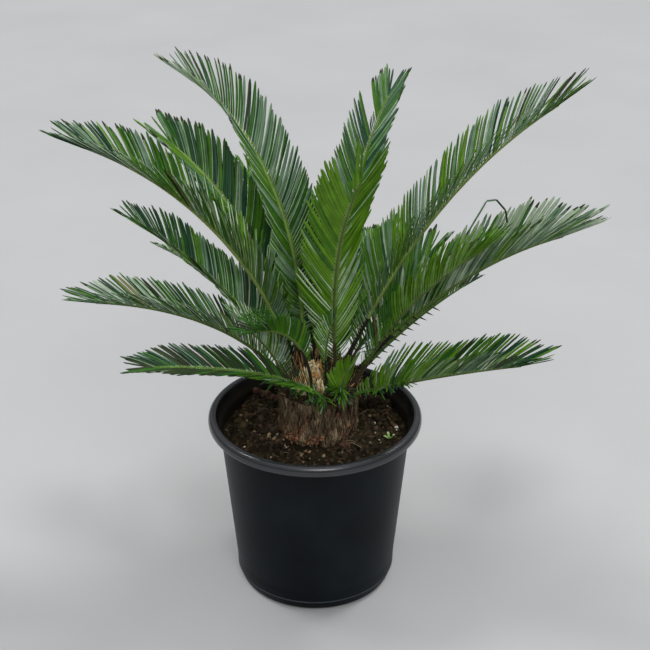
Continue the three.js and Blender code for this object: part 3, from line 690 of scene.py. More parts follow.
SCALE_TIP_RING = 5
# Spines: pitch, flanks, lengths, sweep, lift, finish of foot and rest, half width.
HARD_SPINES = (0.013, (1,), (0.011, 0.015), 68, -24, DARK_AND_SHADE, DARK_AND_SHADE, 0.0018)
GREEN_SPINES = (0.006, (-1, 1), (0.007, 0.011), 68, 22, ROOT, GREEN, 0.0011)


def tones_of(f, share, hand):
    """Deals the greens out by leaflet, in short runs, with a few yellow or brown ones."""
    random, name = f["random"], f["name"]
    count = len(share)
    weights = f["tones"] / f["tones"].sum(1, keepdims=True)
    left, right = (random.choice(7, size=count, p=flank) for flank in weights)
    tone = np.where(hand < 0, left, right)
    run = random.random(count) < RUN_SHARE
    for i in range(2, count):
        if run[i]:
            tone[i] = tone[i - 2]
    tone[(tone == BLOOM_AND_SHEEN) & (share < random.uniform(0.1, 0.5, count))] = GREEN
    if name in FRESH_FEET:
        tone[(tone <= GREEN) & (share < random.uniform(0.1, 0.6, count))] = FRESH
    if name in SHADED_ENDS:
        # Toward the tip, leaflets of these fronds go deep or dark green as painted shade.
        tone[(tone != BLOOM_AND_SHEEN) & (share > random.uniform(0.65, 1.25, count))] = random.choice((DEEP, DARK_AND_SHADE))
    tone[(tone == DARK_AND_SHADE) & (hand < 0) & (share < random.uniform(0.2, 0.5, count))] = FRESH
    if name not in SOUND:
        tone[random.random(count) < YELLOW_SHARE] = YELLOW
        tone[(random.random(count) < BROWN_SHARE) & (share < 0.8)] = BROWN
    for at, flank, finish in TURNED.get(name, ()):
        tone[np.argmin(np.abs(share - at) + 9 * (hand != flank))] = finish
    return tone


def sides_of(tone):
    """A leaflet's face has its tone and its back the paler one under it."""
    return lambda line, ring, place: np.where(place < FACE_PLACES, tone[line], UNDER[tone[line]])


def leaflets_of(f):
    batch, random, name = Batch(), f["random"], f["name"]
    share, hand, sweep, lift, reach, root, tip = f["leaflets"]
    if name in SPINY:
        spined, bare = SPINY[name]
        full = (hand < 0) | (share > bare)
        share, hand, sweep, lift, reach, root, tip = (values[full] for values in f["leaflets"])
        spines_of(f, batch, (HARD_SPINE_START, spined), *HARD_SPINES)
    count = len(share)
    tone = tones_of(f, share, hand)
    along, up, side = directions(f, share)
    first = pointed(f, share, hand, sweep + np.radians(5), lift + np.radians(2))
    root = root + side * (hand * mix(*RIB_FLANKS, share) * 0.6)[:, None] - up * 0.0006
    bend = root + first * (reach * 0.5)[:, None]
    breadth = WIDTHS.get(name, 1 if name in TONES else BACK_WIDTH)
    size = np.clip(reach / FULL_WIDTH_LENGTH, 0.42, 1)
    wide = LEAFLET_HALF_WIDTH * breadth * size * random.uniform(0.92, 1.08, count)
    if name == "front_tall":
        wide = wide * mix(0.78, 1.05, ease(share, 0.25, 0.6))
    if name in SHADED_ENDS:
        wide = wide * mix(1, 0.82, ease(share, 0.6, 0.9))
    twist = -hand * np.radians(random.normal(*LEAFLET_TWIST, count))
    brown_tip = random.random(count) < BROWN_TIP_SHARE
    shaded_tip = random.random(count) < SHADED_TIP_SHARE * ease(share, 0.6, 0.95) * (name != "front_tall")
    highlighted_edge = random.random(count) < HIGHLIGHTED_EDGES.get(name, HIGHLIGHTED_EDGE_SHARE)
    if name == "front_tall":
        highlighted_edge = highlighted_edge & (random.random(count) < 1 - 0.85 * ease(share, 0.3, 0.55))
    highlight_streaked = random.random(count) < HIGHLIGHT_STREAK_SHARE * (1 - ease(share / HIGHLIGHT_STREAKS.get(name, 0.01), 0.6, 1))

    def finish(line, ring, place):
        # Painted highlight: the pale edge finish goes on the edges and in streaks of these leaflets.
        light = np.isin(place, EDGE_PLACES) & highlighted_edge[line]
        light |= np.isin(place, HIGHLIGHT_STREAK_PLACES) & (ring > 0) & (ring < TIP_RING) & highlight_streaked[line]
        made = np.where(light & (tone[line] < YELLOW), EDGE_HIGHLIGHT, sides_of(tone)(line, ring, place))
        made = np.where(ring < 1, ROOT, made)
        # Painted shade: some leaflets toward the tip darken over their last rings.
        made = np.where((ring >= TIP_RING - 1) & shaded_tip[line], DARK_AND_SHADE, made)
        return np.where((ring >= TIP_RING) & brown_tip[line], BROWN, made)

    batch.blades(LEAFLET_FORM, root, tip, along * hand[:, None] * -1, wide, wide, finish, bend, twist)
    if name == "right_mid":
        bent_leaflet(f, batch)
    for owner, *skirt in SKIRTS:
        if owner == name:
            skirt_of(f, batch, *skirt)
    spines_of(f, batch, (0.25 * f["start"], 0.95 * f["start"]), *GREEN_SPINES)
    end_leaflets_of(f, batch)
    batch.piece(f"frond_{name}_leaflets", f"frond_{name}", "leaf", LEAF)


def spines_of(f, batch, stretch, pitch, hands, reaches, sweep, lift, foot, rest, half_width):
    """Short spines along a stretch of the frond."""
    low, high = stretch
    count = int(f["length"] / 1000 * (high - low) / pitch)
    if not count:
        return
    share = np.repeat(np.linspace(low, high, count), len(hands))
    hand = np.tile(np.array(hands, dtype=float), count)
    along, up, side = directions(f, share)
    root = midrib_at(f, share) + side * (hand * 0.003)[:, None] - up * 0.001
    toward = pointed(f, share, hand, np.radians(np.full(len(share), float(sweep))), math.radians(lift))
    tips = root + toward * mix(*reaches, (share - low) / (high - low))[:, None]
    batch.blades(SPINE_FORM, root, tips, along, half_width, half_width,
                 lambda line, ring, place: np.where(ring < 1, foot, rest))


def bent_leaflet(f, batch):
    """One thin leaflet stands up out of the frond and is broken over twice."""
    foot = midrib_at(f, np.array([0.52]))
    bends = np.array([(0.004, 0.015, 0.050), (0.056, 0.020, 0.150), (0.072, 0.020, 0.152),
                      (0.088, 0.018, 0.134), (0.092, 0.016, 0.112)])
    for start, end, finish in zip(bends[:-1], bends[1:], (PALE_AND_GLINT, PALE_AND_GLINT, DEEP, DARK_AND_SHADE)):
        batch.blades(BROKEN_FORM, foot + start, foot + end, np.cross(end - start, [0, 1.0, 0]),
                     0.0016, 0.0016, finish)


def skirt_of(f, batch, count, stretch, lengths, heading, slopes):
    """Short leaflets that spread from the foot of a frond."""
    random = f["random"]
    share = random.uniform(*stretch, count)
    root = midrib_at(f, share) - directions(f, share)[1] * 0.001
    turn = np.radians(heading + random.uniform(-SKIRT_SPREAD, SKIRT_SPREAD, count))
    toward, _ = tilted(turn, np.radians(random.uniform(*slopes, count)))
    tips = root + toward * random.uniform(*lengths, count)[:, None]
    wide = random.uniform(0.0011, 0.0017, count)
    tone = random.choice([DEEP, GREEN, FRESH, BRIGHT, PALE_AND_GLINT, DARK_AND_SHADE], size=count,
                         p=[0.1, 0.2, 0.28, 0.2, 0.12, 0.1])
    batch.blades(LEAFLET_FORM, root, tips, np.cross(toward, UPWARD), wide, wide, sides_of(tone),
                 (root + tips) / 2 + UPWARD * 0.005)


def end_leaflets_of(f, batch):
    """The last leaflets close round the midrib's tip."""
    hand, sweep, size, place = np.transpose([(-1, 19, 0.96, 0.985), (1, 18, 1.0, 0.99), (-1, 13, 0.92, 0.996),
                                             (1, 11, 0.96, 0.999)])
    share = np.ones(len(hand))
    _, _, high, left = GAPS.get(f["name"], NO_GAP)
    reach = f["leaflet"] / 1000 * END_LEAFLET_SHARE * size * (left if high > 1 else 1)
    root = midrib_at(f, place)
    tips = root + pointed(f, share, hand, np.radians(sweep), math.radians(f["lift"])) * reach[:, None]
    batch.blades(LEAFLET_FORM, root, tips, directions(f, share)[2], 0.0019, 0.0019,
                 f["tones"].sum(0).argmax())


def midrib_of(f):
    batch = Batch()
    share = np.linspace(0, 1, RIB_RINGS)
    along, up, side = directions(f, share)
    centres = midrib_at(f, share) - up * 0.0003
    centres[0] -= along[0] * 0.004
    swell = 1 + 0.35 * (1 - ease(share, 0, 0.06))
    wide, high = (mix(*ends, share) * swell * f["girth"] for ends in (RIB_WIDE, RIB_HIGH))
    face = RIB_LIGHT if f["name"] in LIGHT_RIBS else RIB_GREEN
    foot, foot_share = FEET.get(f["name"], USUAL_FOOT)

    def finish(line, ring, place):
        return np.where(ring < RIB_RINGS * foot_share, foot, np.where(place < FACE_PLACES, face, face + 1))

    tips = midrib_at(f, np.array([1.0])) + along[-1:] * 0.004
    batch.skin(centres[None], side[None], up[None], RIB_SECTION, wide[None], high[None], tips, finish)
    batch.piece(f"frond_{f['name']}_midrib", f"frond_{f['name']}", "leaf", RIB)


for f in fronds:
    leaflets_of(f)
    midrib_of(f)

# ---------------------------------------------------------------- pot


def turned(profile, sides):
    """Rings of points round +Z from radii and heights."""
    angle = around_z(sides)
    radius, height = np.transpose(profile)
    return np.stack([np.outer(radius, np.cos(angle)), np.outer(radius, np.sin(angle)),
                     np.repeat(height[:, None], sides, 1)], -1)


def pot_radius(height):
    height = np.asarray(height, dtype=float)
    round_in = np.clip(1 - height / POT_SHOULDER, 0, 1) ** 2.4
    low = POT_SHOULDER_RADIUS - (POT_SHOULDER_RADIUS - POT_FOOT_RADIUS) * round_in
    high = mix(POT_SHOULDER_RADIUS, POT_NECK_RADIUS, (height - POT_SHOULDER) / (POT_NECK - POT_SHOULDER))
    return np.where(height < POT_SHOULDER, low, high)


def pot():
    """The wall, turned: out under the pot, up the outside, over the rim and down the inside."""
    profile, kinds = [(0.0, POT_UNDERSIDE)], []

    def go(kind, points):
        profile.extend(points)
        kinds.extend([kind] * len(points))

    def wall(heights, off=0.0):
        return [(float(pot_radius(height)) + off, height) for height in heights]

    go(POT_OUTSIDE, [(0.10, POT_UNDERSIDE), (0.122, POT_UNDERSIDE), (0.124, 0.0002), (0.1265, 0.0),
                     (0.1335, 0.0), (0.1347, 0.0006), (FOOT_RING_RADIUS, 0.0018),
                     (0.1352, FOOT_RING_HEIGHT - 0.0004), (0.1362, FOOT_RING_HEIGHT)])
    go(POT_OUTSIDE, wall(np.linspace(0.0048, FOOT_BEAD_HEIGHT - 0.0014, 8)))
    # A small bead round the foot, lighter than the wall as a painted highlight line.
    for rise, stand in ((-0.0007, 0.0008), (0, 0.0012), (0.0008, 0.0009), (0.0014, 0.0001)):
        go(POT_BEAD_HIGHLIGHT, wall([FOOT_BEAD_HEIGHT + rise], stand))
    go(POT_OUTSIDE, wall(np.linspace(FOOT_BEAD_HEIGHT + 0.0028, POT_SHOULDER, 9)))
    go(POT_OUTSIDE, wall(np.linspace(0.048, POT_NECK - 0.004, 34)))
    go(POT_RIM, [(0.1705, 0.3105), (0.172, 0.3125), (0.176, 0.3142), (0.183, 0.3152), (0.1868, 0.3158),
                 (0.1885, 0.3168), (0.1896, 0.3186), (POT_RIM_RADIUS, 0.3208),
                 (POT_RIM_RADIUS, POT_HEIGHT - RIM_ROUND_HEIGHT)])
    for turn in np.linspace(0, math.pi / 2, 13)[1:]:
        go(POT_RIM, [(POT_RIM_RADIUS - RIM_ROUND_WIDTH * (1 - math.cos(turn)),
                      POT_HEIGHT - RIM_ROUND_HEIGHT * (1 - math.sin(turn)))])
    go(POT_RIM, [(0.1785, 0.3338), (0.1768, 0.3329), (0.1757, 0.3312), (0.1750, 0.3280), (0.1735, 0.3225)])
    go(POT_INSIDE, [(0.1722, 0.318), (0.1700, 0.312), (0.1672, 0.309)])
    go(POT_INSIDE, wall(np.linspace(0.305, 0.008, 24), -POT_WALL))
    go(POT_INSIDE, [(0.0, 0.005)])
    build_rings("pot_shell", "pot", "pot_plastic", POT, turned(profile, POT_SIDES),
                np.repeat(kinds, POT_SIDES))


pot()

# ---------------------------------------------------------------- soil


def fractal(points, scale, octaves=4, seed=0.0):
    """Smooth noise at each point, about -1 to 1."""
    return np.array([noise.fractal(Vector((x * scale + seed, y * scale - seed, z * scale + 2 * seed)),
                                   0.8, 2.0, octaves) for x, y, z in points])


LUMPS = [  # x, y, width, height of the bigger heaps and lumps
    (0.104, 0.070, 0.046, 0.014), (-0.102, 0.104, 0.036, 0.012), (-0.064, 0.084, 0.028, 0.009),
    (-0.050, -0.064, 0.026, 0.005), (0.066, -0.062, 0.026, 0.005), (0.118, 0.086, 0.026, 0.007),
    (0.090, 0.050, 0.024, 0.006), (-0.118, 0.050, 0.032, 0.005), (-0.095, -0.060, 0.030, 0.005),
    (0.126, 0.040, 0.022, 0.006), (-0.112, 0.112, 0.020, 0.006),
]


def soil_height(x, y):
    slope = np.clip(1 - (np.hypot(x, y) - MOUND_TOP_RADIUS) / MOUND_SLOPE_WIDTH, 0, 1)
    base = SOIL_EDGE + SOIL_MOUND * slope ** 1.5 - SOIL_SETTLED
    for lump_x, lump_y, width, height in LUMPS:
        base = base + height * np.exp(-2 * ((x - lump_x) ** 2 + (y - lump_y) ** 2) / width ** 2)
    flat = np.stack([x, y, np.zeros_like(x)], -1).reshape(-1, 3)
    rough = fractal(flat, 28, 4, 3.1) * 0.0034 + fractal(flat, 110, 3, 7.7) * 0.0022
    return base + rough.reshape(np.shape(x))


def on_soil(x, y, rise):
    return np.stack([x, y, soil_height(x, y) + rise], -1)


def soil():
    sides, rings = 240, 84
    wall = float(pot_radius(SOIL_EDGE)) - POT_WALL - 0.0003
    angle, radii = around_z(sides), np.linspace(wall, 0.03, rings)
    top = on_soil(np.outer(radii, np.cos(angle)), np.outer(radii, np.sin(angle)), 0)
    below = turned([(0.0, SOIL_FLOOR), (float(pot_radius(SOIL_FLOOR)) - 0.0036, SOIL_FLOOR),
                    (float(pot_radius(0.04)) - 0.0033, 0.04), (wall, SOIL_EDGE - 0.014)], sides)
    points = np.concatenate([below, top, turned([(0.0, SOIL_EDGE)], sides)])
    centres = points.reshape(-1, 3)[faces_between(*points.shape[:2])].mean(1)
    red = fractal(centres, 17, 3, 12.5) + fractal(centres, 120, 2, 5.0) * 0.5
    build_rings("soil_body", "soil", "soil", SOIL, points, np.where(red > 0.42, SOIL_BROWN, SOIL_DARK))


def blob():
    """A small rounded stone shape: an octahedron split once."""
    points = list(np.array([(1, 0, 0), (0, 1, 0), (-1, 0, 0), (0, -1, 0), (0, 0, 1), (0, 0, -1)], float))
    tris, middles = [], {}

    def middle(a, b):
        key = frozenset((a, b))
        if key not in middles:
            middles[key] = len(points)
            points.append(unit(points[a] + points[b]))
        return middles[key]

    for a, b, c in ((0, 1, 4), (1, 2, 4), (2, 3, 4), (3, 0, 4), (1, 0, 5), (2, 1, 5), (3, 2, 5), (0, 3, 5)):
        ab, bc, ca = middle(a, b), middle(b, c), middle(c, a)
        tris += [(a, ab, ca), (ab, b, bc), (ca, bc, c), (ab, bc, ca)]
    return np.array(points), np.array(tris)


def rotations(count, random):
    """Random rotation matrices."""
    w, x, y, z = unit(random.normal(size=(count, 4))).T
    return np.stack([np.stack([1 - 2 * (y * y + z * z), 2 * (x * y - z * w), 2 * (x * z + y * w)], -1),
                     np.stack([2 * (x * y + z * w), 1 - 2 * (x * x + z * z), 2 * (y * z - x * w)], -1),
                     np.stack([2 * (x * z - y * w), 2 * (y * z + x * w), 1 - 2 * (x * x + y * y)], -1)], -2)


CRUMB_RISE = 0.25  # how far a crumb's middle is over the soil, as a share of its size
# How many crumbs, their size and finish, and for a heap its centre and spread.
CRUMBS = [
    (620, 0.0026, SOIL_DARK), (420, 0.0030, SOIL_BROWN), (90, 0.0032, SOIL_RED), (60, 0.0022, CHIP_TAN),
    (26, 0.0016, GRIT), (26, 0.0060, SOIL_DARK), (16, 0.0062, SOIL_BROWN),
    (3, 0.0022, CHIP_ORANGE, (-0.046, -0.066), 0.006), (3, 0.0022, CHIP_ORANGE, (-0.008, -0.078), 0.005),
    (8, 0.0036, SOIL_RED, (0.050, -0.064), 0.006), (7, 0.0060, SOIL_RED, (-0.104, 0.118), 0.006),
    (7, 0.0062, SOIL_RED, (-0.074, 0.098), 0.006), (26, 0.0046, SOIL_BROWN, (0.118, 0.080), 0.018),
    (9, 0.0085, SOIL_DARK, (0.104, 0.056), 0.014), (7, 0.0075, SOIL_BROWN, (-0.108, 0.050), 0.012),
    (6, 0.0022, GRIT, (0.150, 0.010), 0.010), (2, 0.0020, GRIT, (-0.056, -0.078), 0.006),
    (5, 0.0022, CHIP_TAN, (-0.016, -0.092), 0.014), (9, 0.0030, CHIP_TAN, (-0.072, -0.030), 0.007),
]
# Clods against the trunk's foot: angle and its spread, how many, size, height, share of orange ones.
CLODS = [
    (-130, 5, 60, 0.0025, 0.3050, 0.5), (-95, 4.5, 48, 0.0025, 0.3095, 0.5), (-50, 5, 16, 0.0026, 0.3050, 0),
]


def crumbs():
    random = np.random.default_rng(41)
    spots, sizes, kinds = [], [], []
    for count, size, kind, *heap in CRUMBS:
        for _ in range(count):
            if heap:
                (x, y), spread = heap
                x, y = x + random.normal(0, spread), y + random.normal(0, spread)
            else:
                radius = math.sqrt(random.uniform(0.078 ** 2, SOIL_REACH ** 2))
                angle = random.uniform(0, math.tau)
                x, y = radius * math.cos(angle), radius * math.sin(angle)
            if math.hypot(x, y) > SOIL_REACH or math.hypot(x - TRUNK_X, y) < TRUNK_CLEAR:
                continue
            spots.append((x, y))
            sizes.append(size * random.uniform(0.6, 1.5))
            kinds.append(kind)
    sizes = np.array(sizes)
    places = [on_soil(*np.transpose(spots), sizes * CRUMB_RISE)]
    for middle, spread, count, size, foot, orange in CLODS:
        out, _ = spokes(np.radians(random.normal(middle, spread, count)))
        rise = random.uniform(0, 1, count)
        clods = size * random.uniform(0.55, 1.25, count)
        places.append(TRUNK_AXIS + out * (0.0745 - 0.0050 * rise)[:, None]
                      + UPWARD * (foot + 0.014 * rise + clods * CRUMB_RISE)[:, None])
        sizes = np.concatenate([sizes, clods])
        kinds = np.concatenate([kinds, np.where(random.random(count) < orange, CHIP_ORANGE, SOIL_RED)])
    shape, tris = blob()
    count = len(sizes)
    stretch = random.uniform(0.55, 1.35, (count, 1, 3))
    bumps = 1 + random.normal(0, 0.13, (count, len(shape), 1))
    body = np.einsum("nij,npj->npi", rotations(count, random), shape * bumps * stretch * sizes[:, None, None])
    points = body + np.concatenate(places)[:, None]
    tris = (tris + np.arange(count)[:, None, None] * len(shape)).reshape(-1, 3)
    build("soil_crumbs", "soil", "soil", SOIL, points.reshape(-1, 3), (), (), tris,
          np.repeat(kinds, len(tris) // count), smooth=False)


def litter():
    """Loose strands of root and old leaf on the soil."""
    random = np.random.default_rng(57)
    count = 110
    angle = random.uniform(0, math.tau, count)
    radius = np.sqrt(random.uniform(0.080 ** 2, 0.155 ** 2, count))
    x, y = radius * np.cos(angle), radius * np.sin(angle)
    run = random.uniform(0, math.tau, count)
    length = random.uniform(0.008, 0.026, count)
    end_x, end_y = x + np.cos(run) * length, y + np.sin(run) * length
    inside = np.minimum(1, 0.158 / np.hypot(end_x, end_y))
    root, tips = on_soil(x, y, 0.0006), on_soil(end_x * inside, end_y * inside, 0.0012)
    bend = (root + tips) / 2 + np.stack([random.normal(0, 0.003, count), random.normal(0, 0.003, count),
                                         random.uniform(0.001, 0.007, count)], -1)
    kinds = random.choice([SOIL_BROWN, SOIL_RED, CHIP_TAN, CHIP_ORANGE], size=count, p=[0.4, 0.25, 0.25, 0.1])
    build_blades("soil_litter", "soil", "soil", SOIL, STRAND_FORM, root, tips, (0.3, 0.2, 1.0),
                 0.0006, 0.0009, kinds, bend)


def seedling():
    foot = on_soil(np.array([0.132]), np.array([-0.026]), -0.001)
    leaves = np.array([(-0.011, 0.002, 0.006), (0.010, 0.004, 0.008), (0.001, -0.009, 0.009),
                       (-0.003, 0.008, 0.011)])
    build_blades("soil_seedling", "soil", "soil", SPROUT, SEEDLING_FORM, foot + leaves * 0.12, foot + leaves,
                 np.cross(leaves, UPWARD), 0.0026, 0.0014, 0, foot + leaves * 0.5 + UPWARD * 0.005)


soil()
crumbs()
litter()
seedling()

# ---------------------------------------------------------------- trunk


def trunk():
    """Old leaf feet stand round the trunk in spirals under a coat of matted upright fibre."""
    random = np.random.default_rng(63)
    sides, rows, stubs = 360, 110, 110
    a, z = np.meshgrid(around_z(sides), np.linspace(TRUNK_FOOT, TRUNK_TOP + 0.002, rows))
    stub_height = mix(TRUNK_FOOT - 0.004, TRUNK_TOP + 0.006, evenly(stubs))
    stand = random.uniform(0.2, 1.0, stubs)
    off = (a[..., None] - spiral(stubs) + math.pi) % math.tau - math.pi
    far = np.sqrt((off * TRUNK_RADIUS / STUB_HALF_WIDTH) ** 2
                  + ((z[..., None] - stub_height) / STUB_HALF_HEIGHT) ** 2)
    nearest = far.argmin(-1)
    stub = np.clip(1 - far.min(-1), 0, 1) ** 0.7 * stand[nearest]
    surface = np.stack([np.cos(a) * TRUNK_RADIUS, np.sin(a) * TRUNK_RADIUS, z], -1).reshape(-1, 3)
    strands, tufts, broad, rust = (fractal(surface * [1, 1, squash], scale, 3, seed).reshape(a.shape) for
                                   squash, scale, seed in ((0.10, 330, 2.2), (0.45, 95, 5.7), (1, 26, 9.0),
                                                           (0.6, 40, 21.0)))
    spread = ease(z, 0.304, 0.310) * (1 - ease(z, 0.314, 0.346)) * (0.001 + 0.002 * (1 - np.cos(4 * a)))
    radius = BARK_RADIUS + 0.002 * ease(z, 0.359, TRUNK_TOP) + spread
    radius = radius + 0.0034 * stub + 0.0016 * strands + 0.0022 * tufts + 0.0020 * broad
    points = np.stack([TRUNK_X + radius * np.cos(a), radius * np.sin(a), z], -1)
    foot, top = (np.tile([TRUNK_X, 0, height], (1, sides, 1)) for height in (TRUNK_FOOT, TRUNK_TOP))
    coat = strands + 0.7 * tufts + 0.5 * broad + random.normal(0, 0.12, a.shape)
    kinds = np.select([coat < -0.25, rust > 0.25, coat > 0.75, coat > 0.45],
                      [BARK_DARK, BARK_RED, BARK_TAN, BARK_GREY], BARK_BROWN)
    lid = np.full((1, sides), BARK_DARK)
    build_rings("trunk_bark", "trunk", "bark", BARK, np.concatenate([foot, points, top]),
                np.concatenate([lid, kinds[:-1], lid]))


def trunk_scales():
    """The broken feet of old fronds: short flat scales that lie close to the trunk and point up."""
    random = np.random.default_rng(64)
    count = 84
    out, sideways = spokes(spiral(count, 0.4))
    height = mix(0.298, TRUNK_TOP - 0.012, evenly(count))
    root = TRUNK_AXIS + out * BARK_RADIUS + UPWARD * height[:, None]
    length = random.uniform(0.012, 0.022, count)
    lean = random.uniform(0.04, 0.24, count)
    tips = root + (UPWARD + out * lean[:, None]) * length[:, None]
    tips = tips + sideways * random.normal(0, 0.0015, count)[:, None]
    bend = root + out * 0.0030 + UPWARD * (length * 0.45)[:, None]
    kinds = random.choice(5, size=count, p=[0.46, 0.18, 0.12, 0.08, 0.16])

    def finish(line, ring, place):
        """The broken end has the finish before that of the rest."""
        return np.where(ring >= STUB_END_RING, np.maximum(kinds[line] - 1, 0), kinds[line])

    build_blades("trunk_leaf_bases", "trunk", "bark", BARK, STUB_FORM, root, tips, sideways,
                 random.uniform(0.0036, 0.0060, count), random.uniform(0.0024, 0.0036, count), finish, bend)


def trunk_fibres():
    """Coarse upright hairs that coat the trunk, in loose tufts."""
    random = np.random.default_rng(65)
    count, tufts = 4200, 420
    tuft = random.integers(0, tufts, count)
    tuft_angle = random.uniform(0, math.tau, tufts)
    tuft_height = random.uniform(0.296, TRUNK_TOP - 0.006, tufts)
    tuft_kind = random.choice(5, size=tufts, p=[0.38, 0.22, 0.12, 0.10, 0.18])
    out, sideways = spokes(tuft_angle[tuft] + random.normal(0, 0.055, count))
    height = np.clip(tuft_height[tuft] + random.normal(0, 0.006, count), 0.294, TRUNK_TOP - 0.004)
    root = TRUNK_AXIS + out * random.uniform(0.0662, 0.0698, count)[:, None] + UPWARD * height[:, None]
    length = np.minimum(random.uniform(0.008, 0.026, count), TRUNK_TOP + 0.004 - height)
    tips = root + UPWARD * length[:, None] + out * random.uniform(-0.002, 0.0032, count)[:, None]
    tips = tips + sideways * random.normal(0, 0.0030, count)[:, None]
    bend = (root + tips) / 2 + out * random.uniform(0, 0.0022, count)[:, None]
    kinds = np.where(random.random(count) < 0.7, tuft_kind[tuft],
                     random.choice([BARK_BROWN, BARK_DARK, BARK_GREY], size=count))
    wide = random.uniform(0.00030, 0.00070, count)
    build_blades("trunk_fibres", "trunk", "bark", BARK, FIBRE_FORM, root, tips, sideways, wide, wide, kinds,
                 bend)


trunk()
trunk_scales()
trunk_fibres()

# ---------------------------------------------------------------- crown


def dome_point(polar, angle, lift=0.0):
    """Points on the crown's dome from the angles off its top and round it, and the way out there."""
    level, _ = spokes(angle)
    run, rise = np.sin(polar)[..., None], np.cos(polar)[..., None]
    out = unit(level * run / CROWN_RADIUS + UPWARD * rise / CROWN_HEIGHT)
    place = TRUNK_AXIS + UPWARD * TRUNK_TOP + level * (CROWN_RADIUS * run) + UPWARD * (CROWN_HEIGHT * rise)
    return place + out * lift, out


def crown_dome():
    sides, rows = 160, 40
    angle, polar = around_z(sides), np.linspace(math.pi / 2, 0, rows)
    place, out = dome_point(*np.meshgrid(polar, angle, indexing="ij"))
    flat = place.reshape(-1, 3)
    relief = fractal(flat, 70, 4, 1.3) * 0.0022 + fractal(flat, 300, 2, 4.0) * 0.0009 - 0.003
    relief = relief.reshape(rows, sides)
    points = place + out * relief[..., None]
    points[..., 2] = np.maximum(points[..., 2], TRUNK_TOP + SEAT_GAP)
    foot = np.tile([TRUNK_X, 0, TRUNK_TOP + SEAT_GAP], (1, sides, 1))
    middle = (angle + math.pi / sides + math.pi) % math.tau - math.pi
    beside = np.concatenate([[math.pi / 2], polar])[:-1]
    woolly = (np.abs(np.degrees(middle) + 104) < 20)[None] & (np.abs(beside[:, None] - 0.75) < 0.45)
    kinds = np.where(woolly, np.where(relief > -0.003, WOOL_CREAM, WOOL_ORANGE), WOOL_BROWN)
    build_rings("crown_wool", "crown", "wool", WOOL, np.concatenate([foot, points]), kinds)


def crown_seats():
    """The swollen foot under each frond, where it leaves the crown."""
    batch = Batch()
    for f in fronds:
        along, up, side = directions(f, np.zeros(6))
        part = np.array([0, 0.35, 0.65, 0.85, 0.96, 1.0])
        start = f["seat_back"]
        end = f["points"][0] + along[0] * 0.0035
        centres = start + (end - start) * part[:, None]
        swell = np.array([1.6, 1.55, 1.45, 1.32, 1.2, 0.9]) * f["girth"]
        batch.skin(centres[None], side[None], up[None], RIB_SECTION, 0.0038 * swell[None],
                   0.0070 * swell[None], end[None], WOOL_BROWN)
    batch.piece("crown_seats", "crown", "wool", WOOL)


def crown_scales():
    """Woolly pointed scale leaves stand between the fronds, in the light patch and over the bud."""
    random = np.random.default_rng(71)
    batch = Batch()

    def add(root, tips, bend, across, shares, wide, high, outline, dark_tips=True):
        count = len(root)
        kinds = random.choice(len(shares), size=count, p=shares)

        def finish(line, ring, place):
            return np.where((ring >= SCALE_TIP_RING) & dark_tips, WOOL_BROWN, kinds[line])

        batch.blades((BLADE, SCALE_STEPS, outline), root, tips, across, random.uniform(*wide, count),
                     random.uniform(*high, count), finish, bend)

    def stand(root, out, lean, play, longest, lengths, *looks):
        toward = unit(lean + random.normal(0, play, out.shape))
        length = longest * random.uniform(*lengths, len(out))
        bend = root + unit(toward + out * 0.5) * (length * 0.5)[:, None]
        across = np.cross(toward, out) + random.normal(0, 0.05, out.shape)
        add(root, root + toward * length[:, None], bend, across, *looks)

    common, patch, bud = 230, 150, 34
    order = evenly(common)
    root, out = dome_point(np.arccos(1 - order * 0.97), spiral(common), -0.004)
    stand(root, out, out * mix(0.45, 0.9, order)[:, None] + UPWARD * mix(1.0, 0.45, order)[:, None], 0.10,
          mix(0.022, 0.013, order), (0.75, 1.2), (0.24, 0.04, 0.06, 0.66), (0.0030, 0.0046), (0.0022, 0.0030),
          (0.9, 1, 0.92, 0.7, 0.42, 0.16))
    polar = np.radians(random.uniform(16, 70, patch))
    root, out = dome_point(polar, np.radians(random.uniform(-124, -84, patch)), -0.003)
    stand(root, out, out * 0.25 + UPWARD, 0.12, 1, (0.014, 0.026), (0.2, 0.5, 0.3), (0.0038, 0.0056),
          (0.0018, 0.0026), (0.9, 1, 0.95, 0.75, 0.46, 0.2), False)
    out, sideways = spokes(spiral(bud))
    spread = np.sqrt(evenly(bud))[:, None]
    heart = np.array([TRUNK_X - 0.012, -0.012, TRUNK_TOP + 0.036])
    root = heart + out * spread * 0.014 - UPWARD * spread * 0.010
    rise = 0.026 - 0.012 * spread + random.normal(0, 0.002, (bud, 1))
    tips = heart + out * spread * 0.007 + UPWARD * rise
    add(root, tips, (root + tips) / 2 + out * 0.006, sideways, (0.35, 0.45, 0.2), (0.0040, 0.0056),
        (0.0022, 0.0030), (0.9, 1, 0.95, 0.8, 0.5, 0.2))
    batch.piece("crown_scales", "crown", "wool", WOOL)


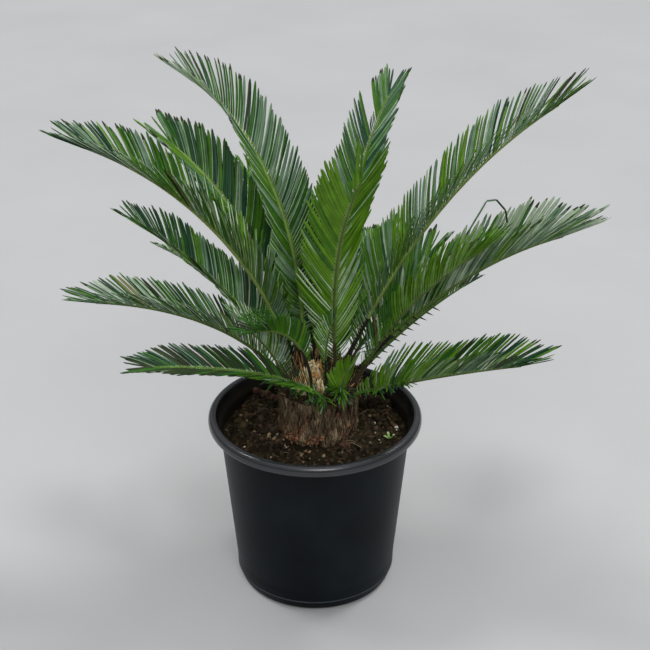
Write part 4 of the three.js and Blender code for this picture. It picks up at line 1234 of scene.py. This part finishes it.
def crown_hairs():
    random = np.random.default_rng(72)
    count = 2400
    polar = np.arccos(1 - random.random(count) * 0.98)
    root, out = dome_point(polar, random.uniform(0, math.tau, count), -0.002)
    toward = unit(out + random.normal(0, 0.45, (count, 3)) + UPWARD * 0.5)
    length = random.uniform(0.006, 0.017, count)
    bend = root + unit(toward + random.normal(0, 0.35, (count, 3))) * (length * 0.5)[:, None]
    kinds = random.choice(4, size=count, p=[0.22, 0.08, 0.05, 0.65])
    wide = random.uniform(0.00022, 0.00045, count)
    build_blades("crown_hairs", "crown", "wool", WOOL, HAIR_FORM, root, root + toward * length[:, None],
                 np.cross(toward, [0.3, 0.5, 0.8]), wide, wide, kinds, bend)


crown_dome()
crown_seats()
crown_scales()
crown_hairs()

# ---------------------------------------------------------------- floor and light

floor_mesh = bpy.data.meshes.new("floor")
floor_mesh.from_pydata([(-14, -8, 0), (14, -8, 0), (14, 20, 0), (-14, 20, 0)], [], [(0, 1, 2, 3)])
floor_mesh.materials.append(finish_of("floor_pale", (0.435, 0.435, 0.432), 0.9, 0.03, 2.0, 0.1, 60))
floor = show("floor", floor_mesh)

world = bpy.data.worlds.new("studio")
world.use_nodes = True
sky = world.node_tree
place = sky.nodes.new("ShaderNodeTexCoord")
upright = filled(sky.nodes.new("ShaderNodeMapping"), Rotation=(0, math.radians(90), 0))
height = sky.nodes.new("ShaderNodeTexGradient")
height.gradient_type = "LINEAR"
glow = ramp_of(sky, (0.0, (0.12, 0.125, 0.13)), (1.0, (0.80, 0.82, 0.86)))
wire(sky, (place, "Generated", upright, "Vector"), (upright, "Vector", height, "Vector"),
     (height, "Fac", glow, "Fac"), (glow, "Color", filled(sky.nodes["Background"], Strength=1.0), "Color"))
scene.world = world


def lamp(name, kind, place, aim, energy, **looks):
    data = bpy.data.lights.new(name, kind)
    data.energy = energy
    for key, value in looks.items():
        setattr(data, key, value)
    light = show(name, data)
    light.location = place
    light.rotation_euler = (Vector(aim) - Vector(place)).to_track_quat("-Z", "Y").to_euler()


lamp("light_right", "SUN", (2.0, 1.2, 4.0), (0, 0, 0.3), 1.25, angle=math.radians(16))
lamp("light_left", "SUN", (-2.2, 0.9, 4.0), (0, 0, 0.3), 1.15, angle=math.radians(18))
lamp("light_front", "AREA", (0.4, -2.6, 3.0), (0, 0, 0.5), 38, shape="DISK", size=1.6)

scene.view_settings.view_transform = "Standard"
scene.view_settings.look = "None"
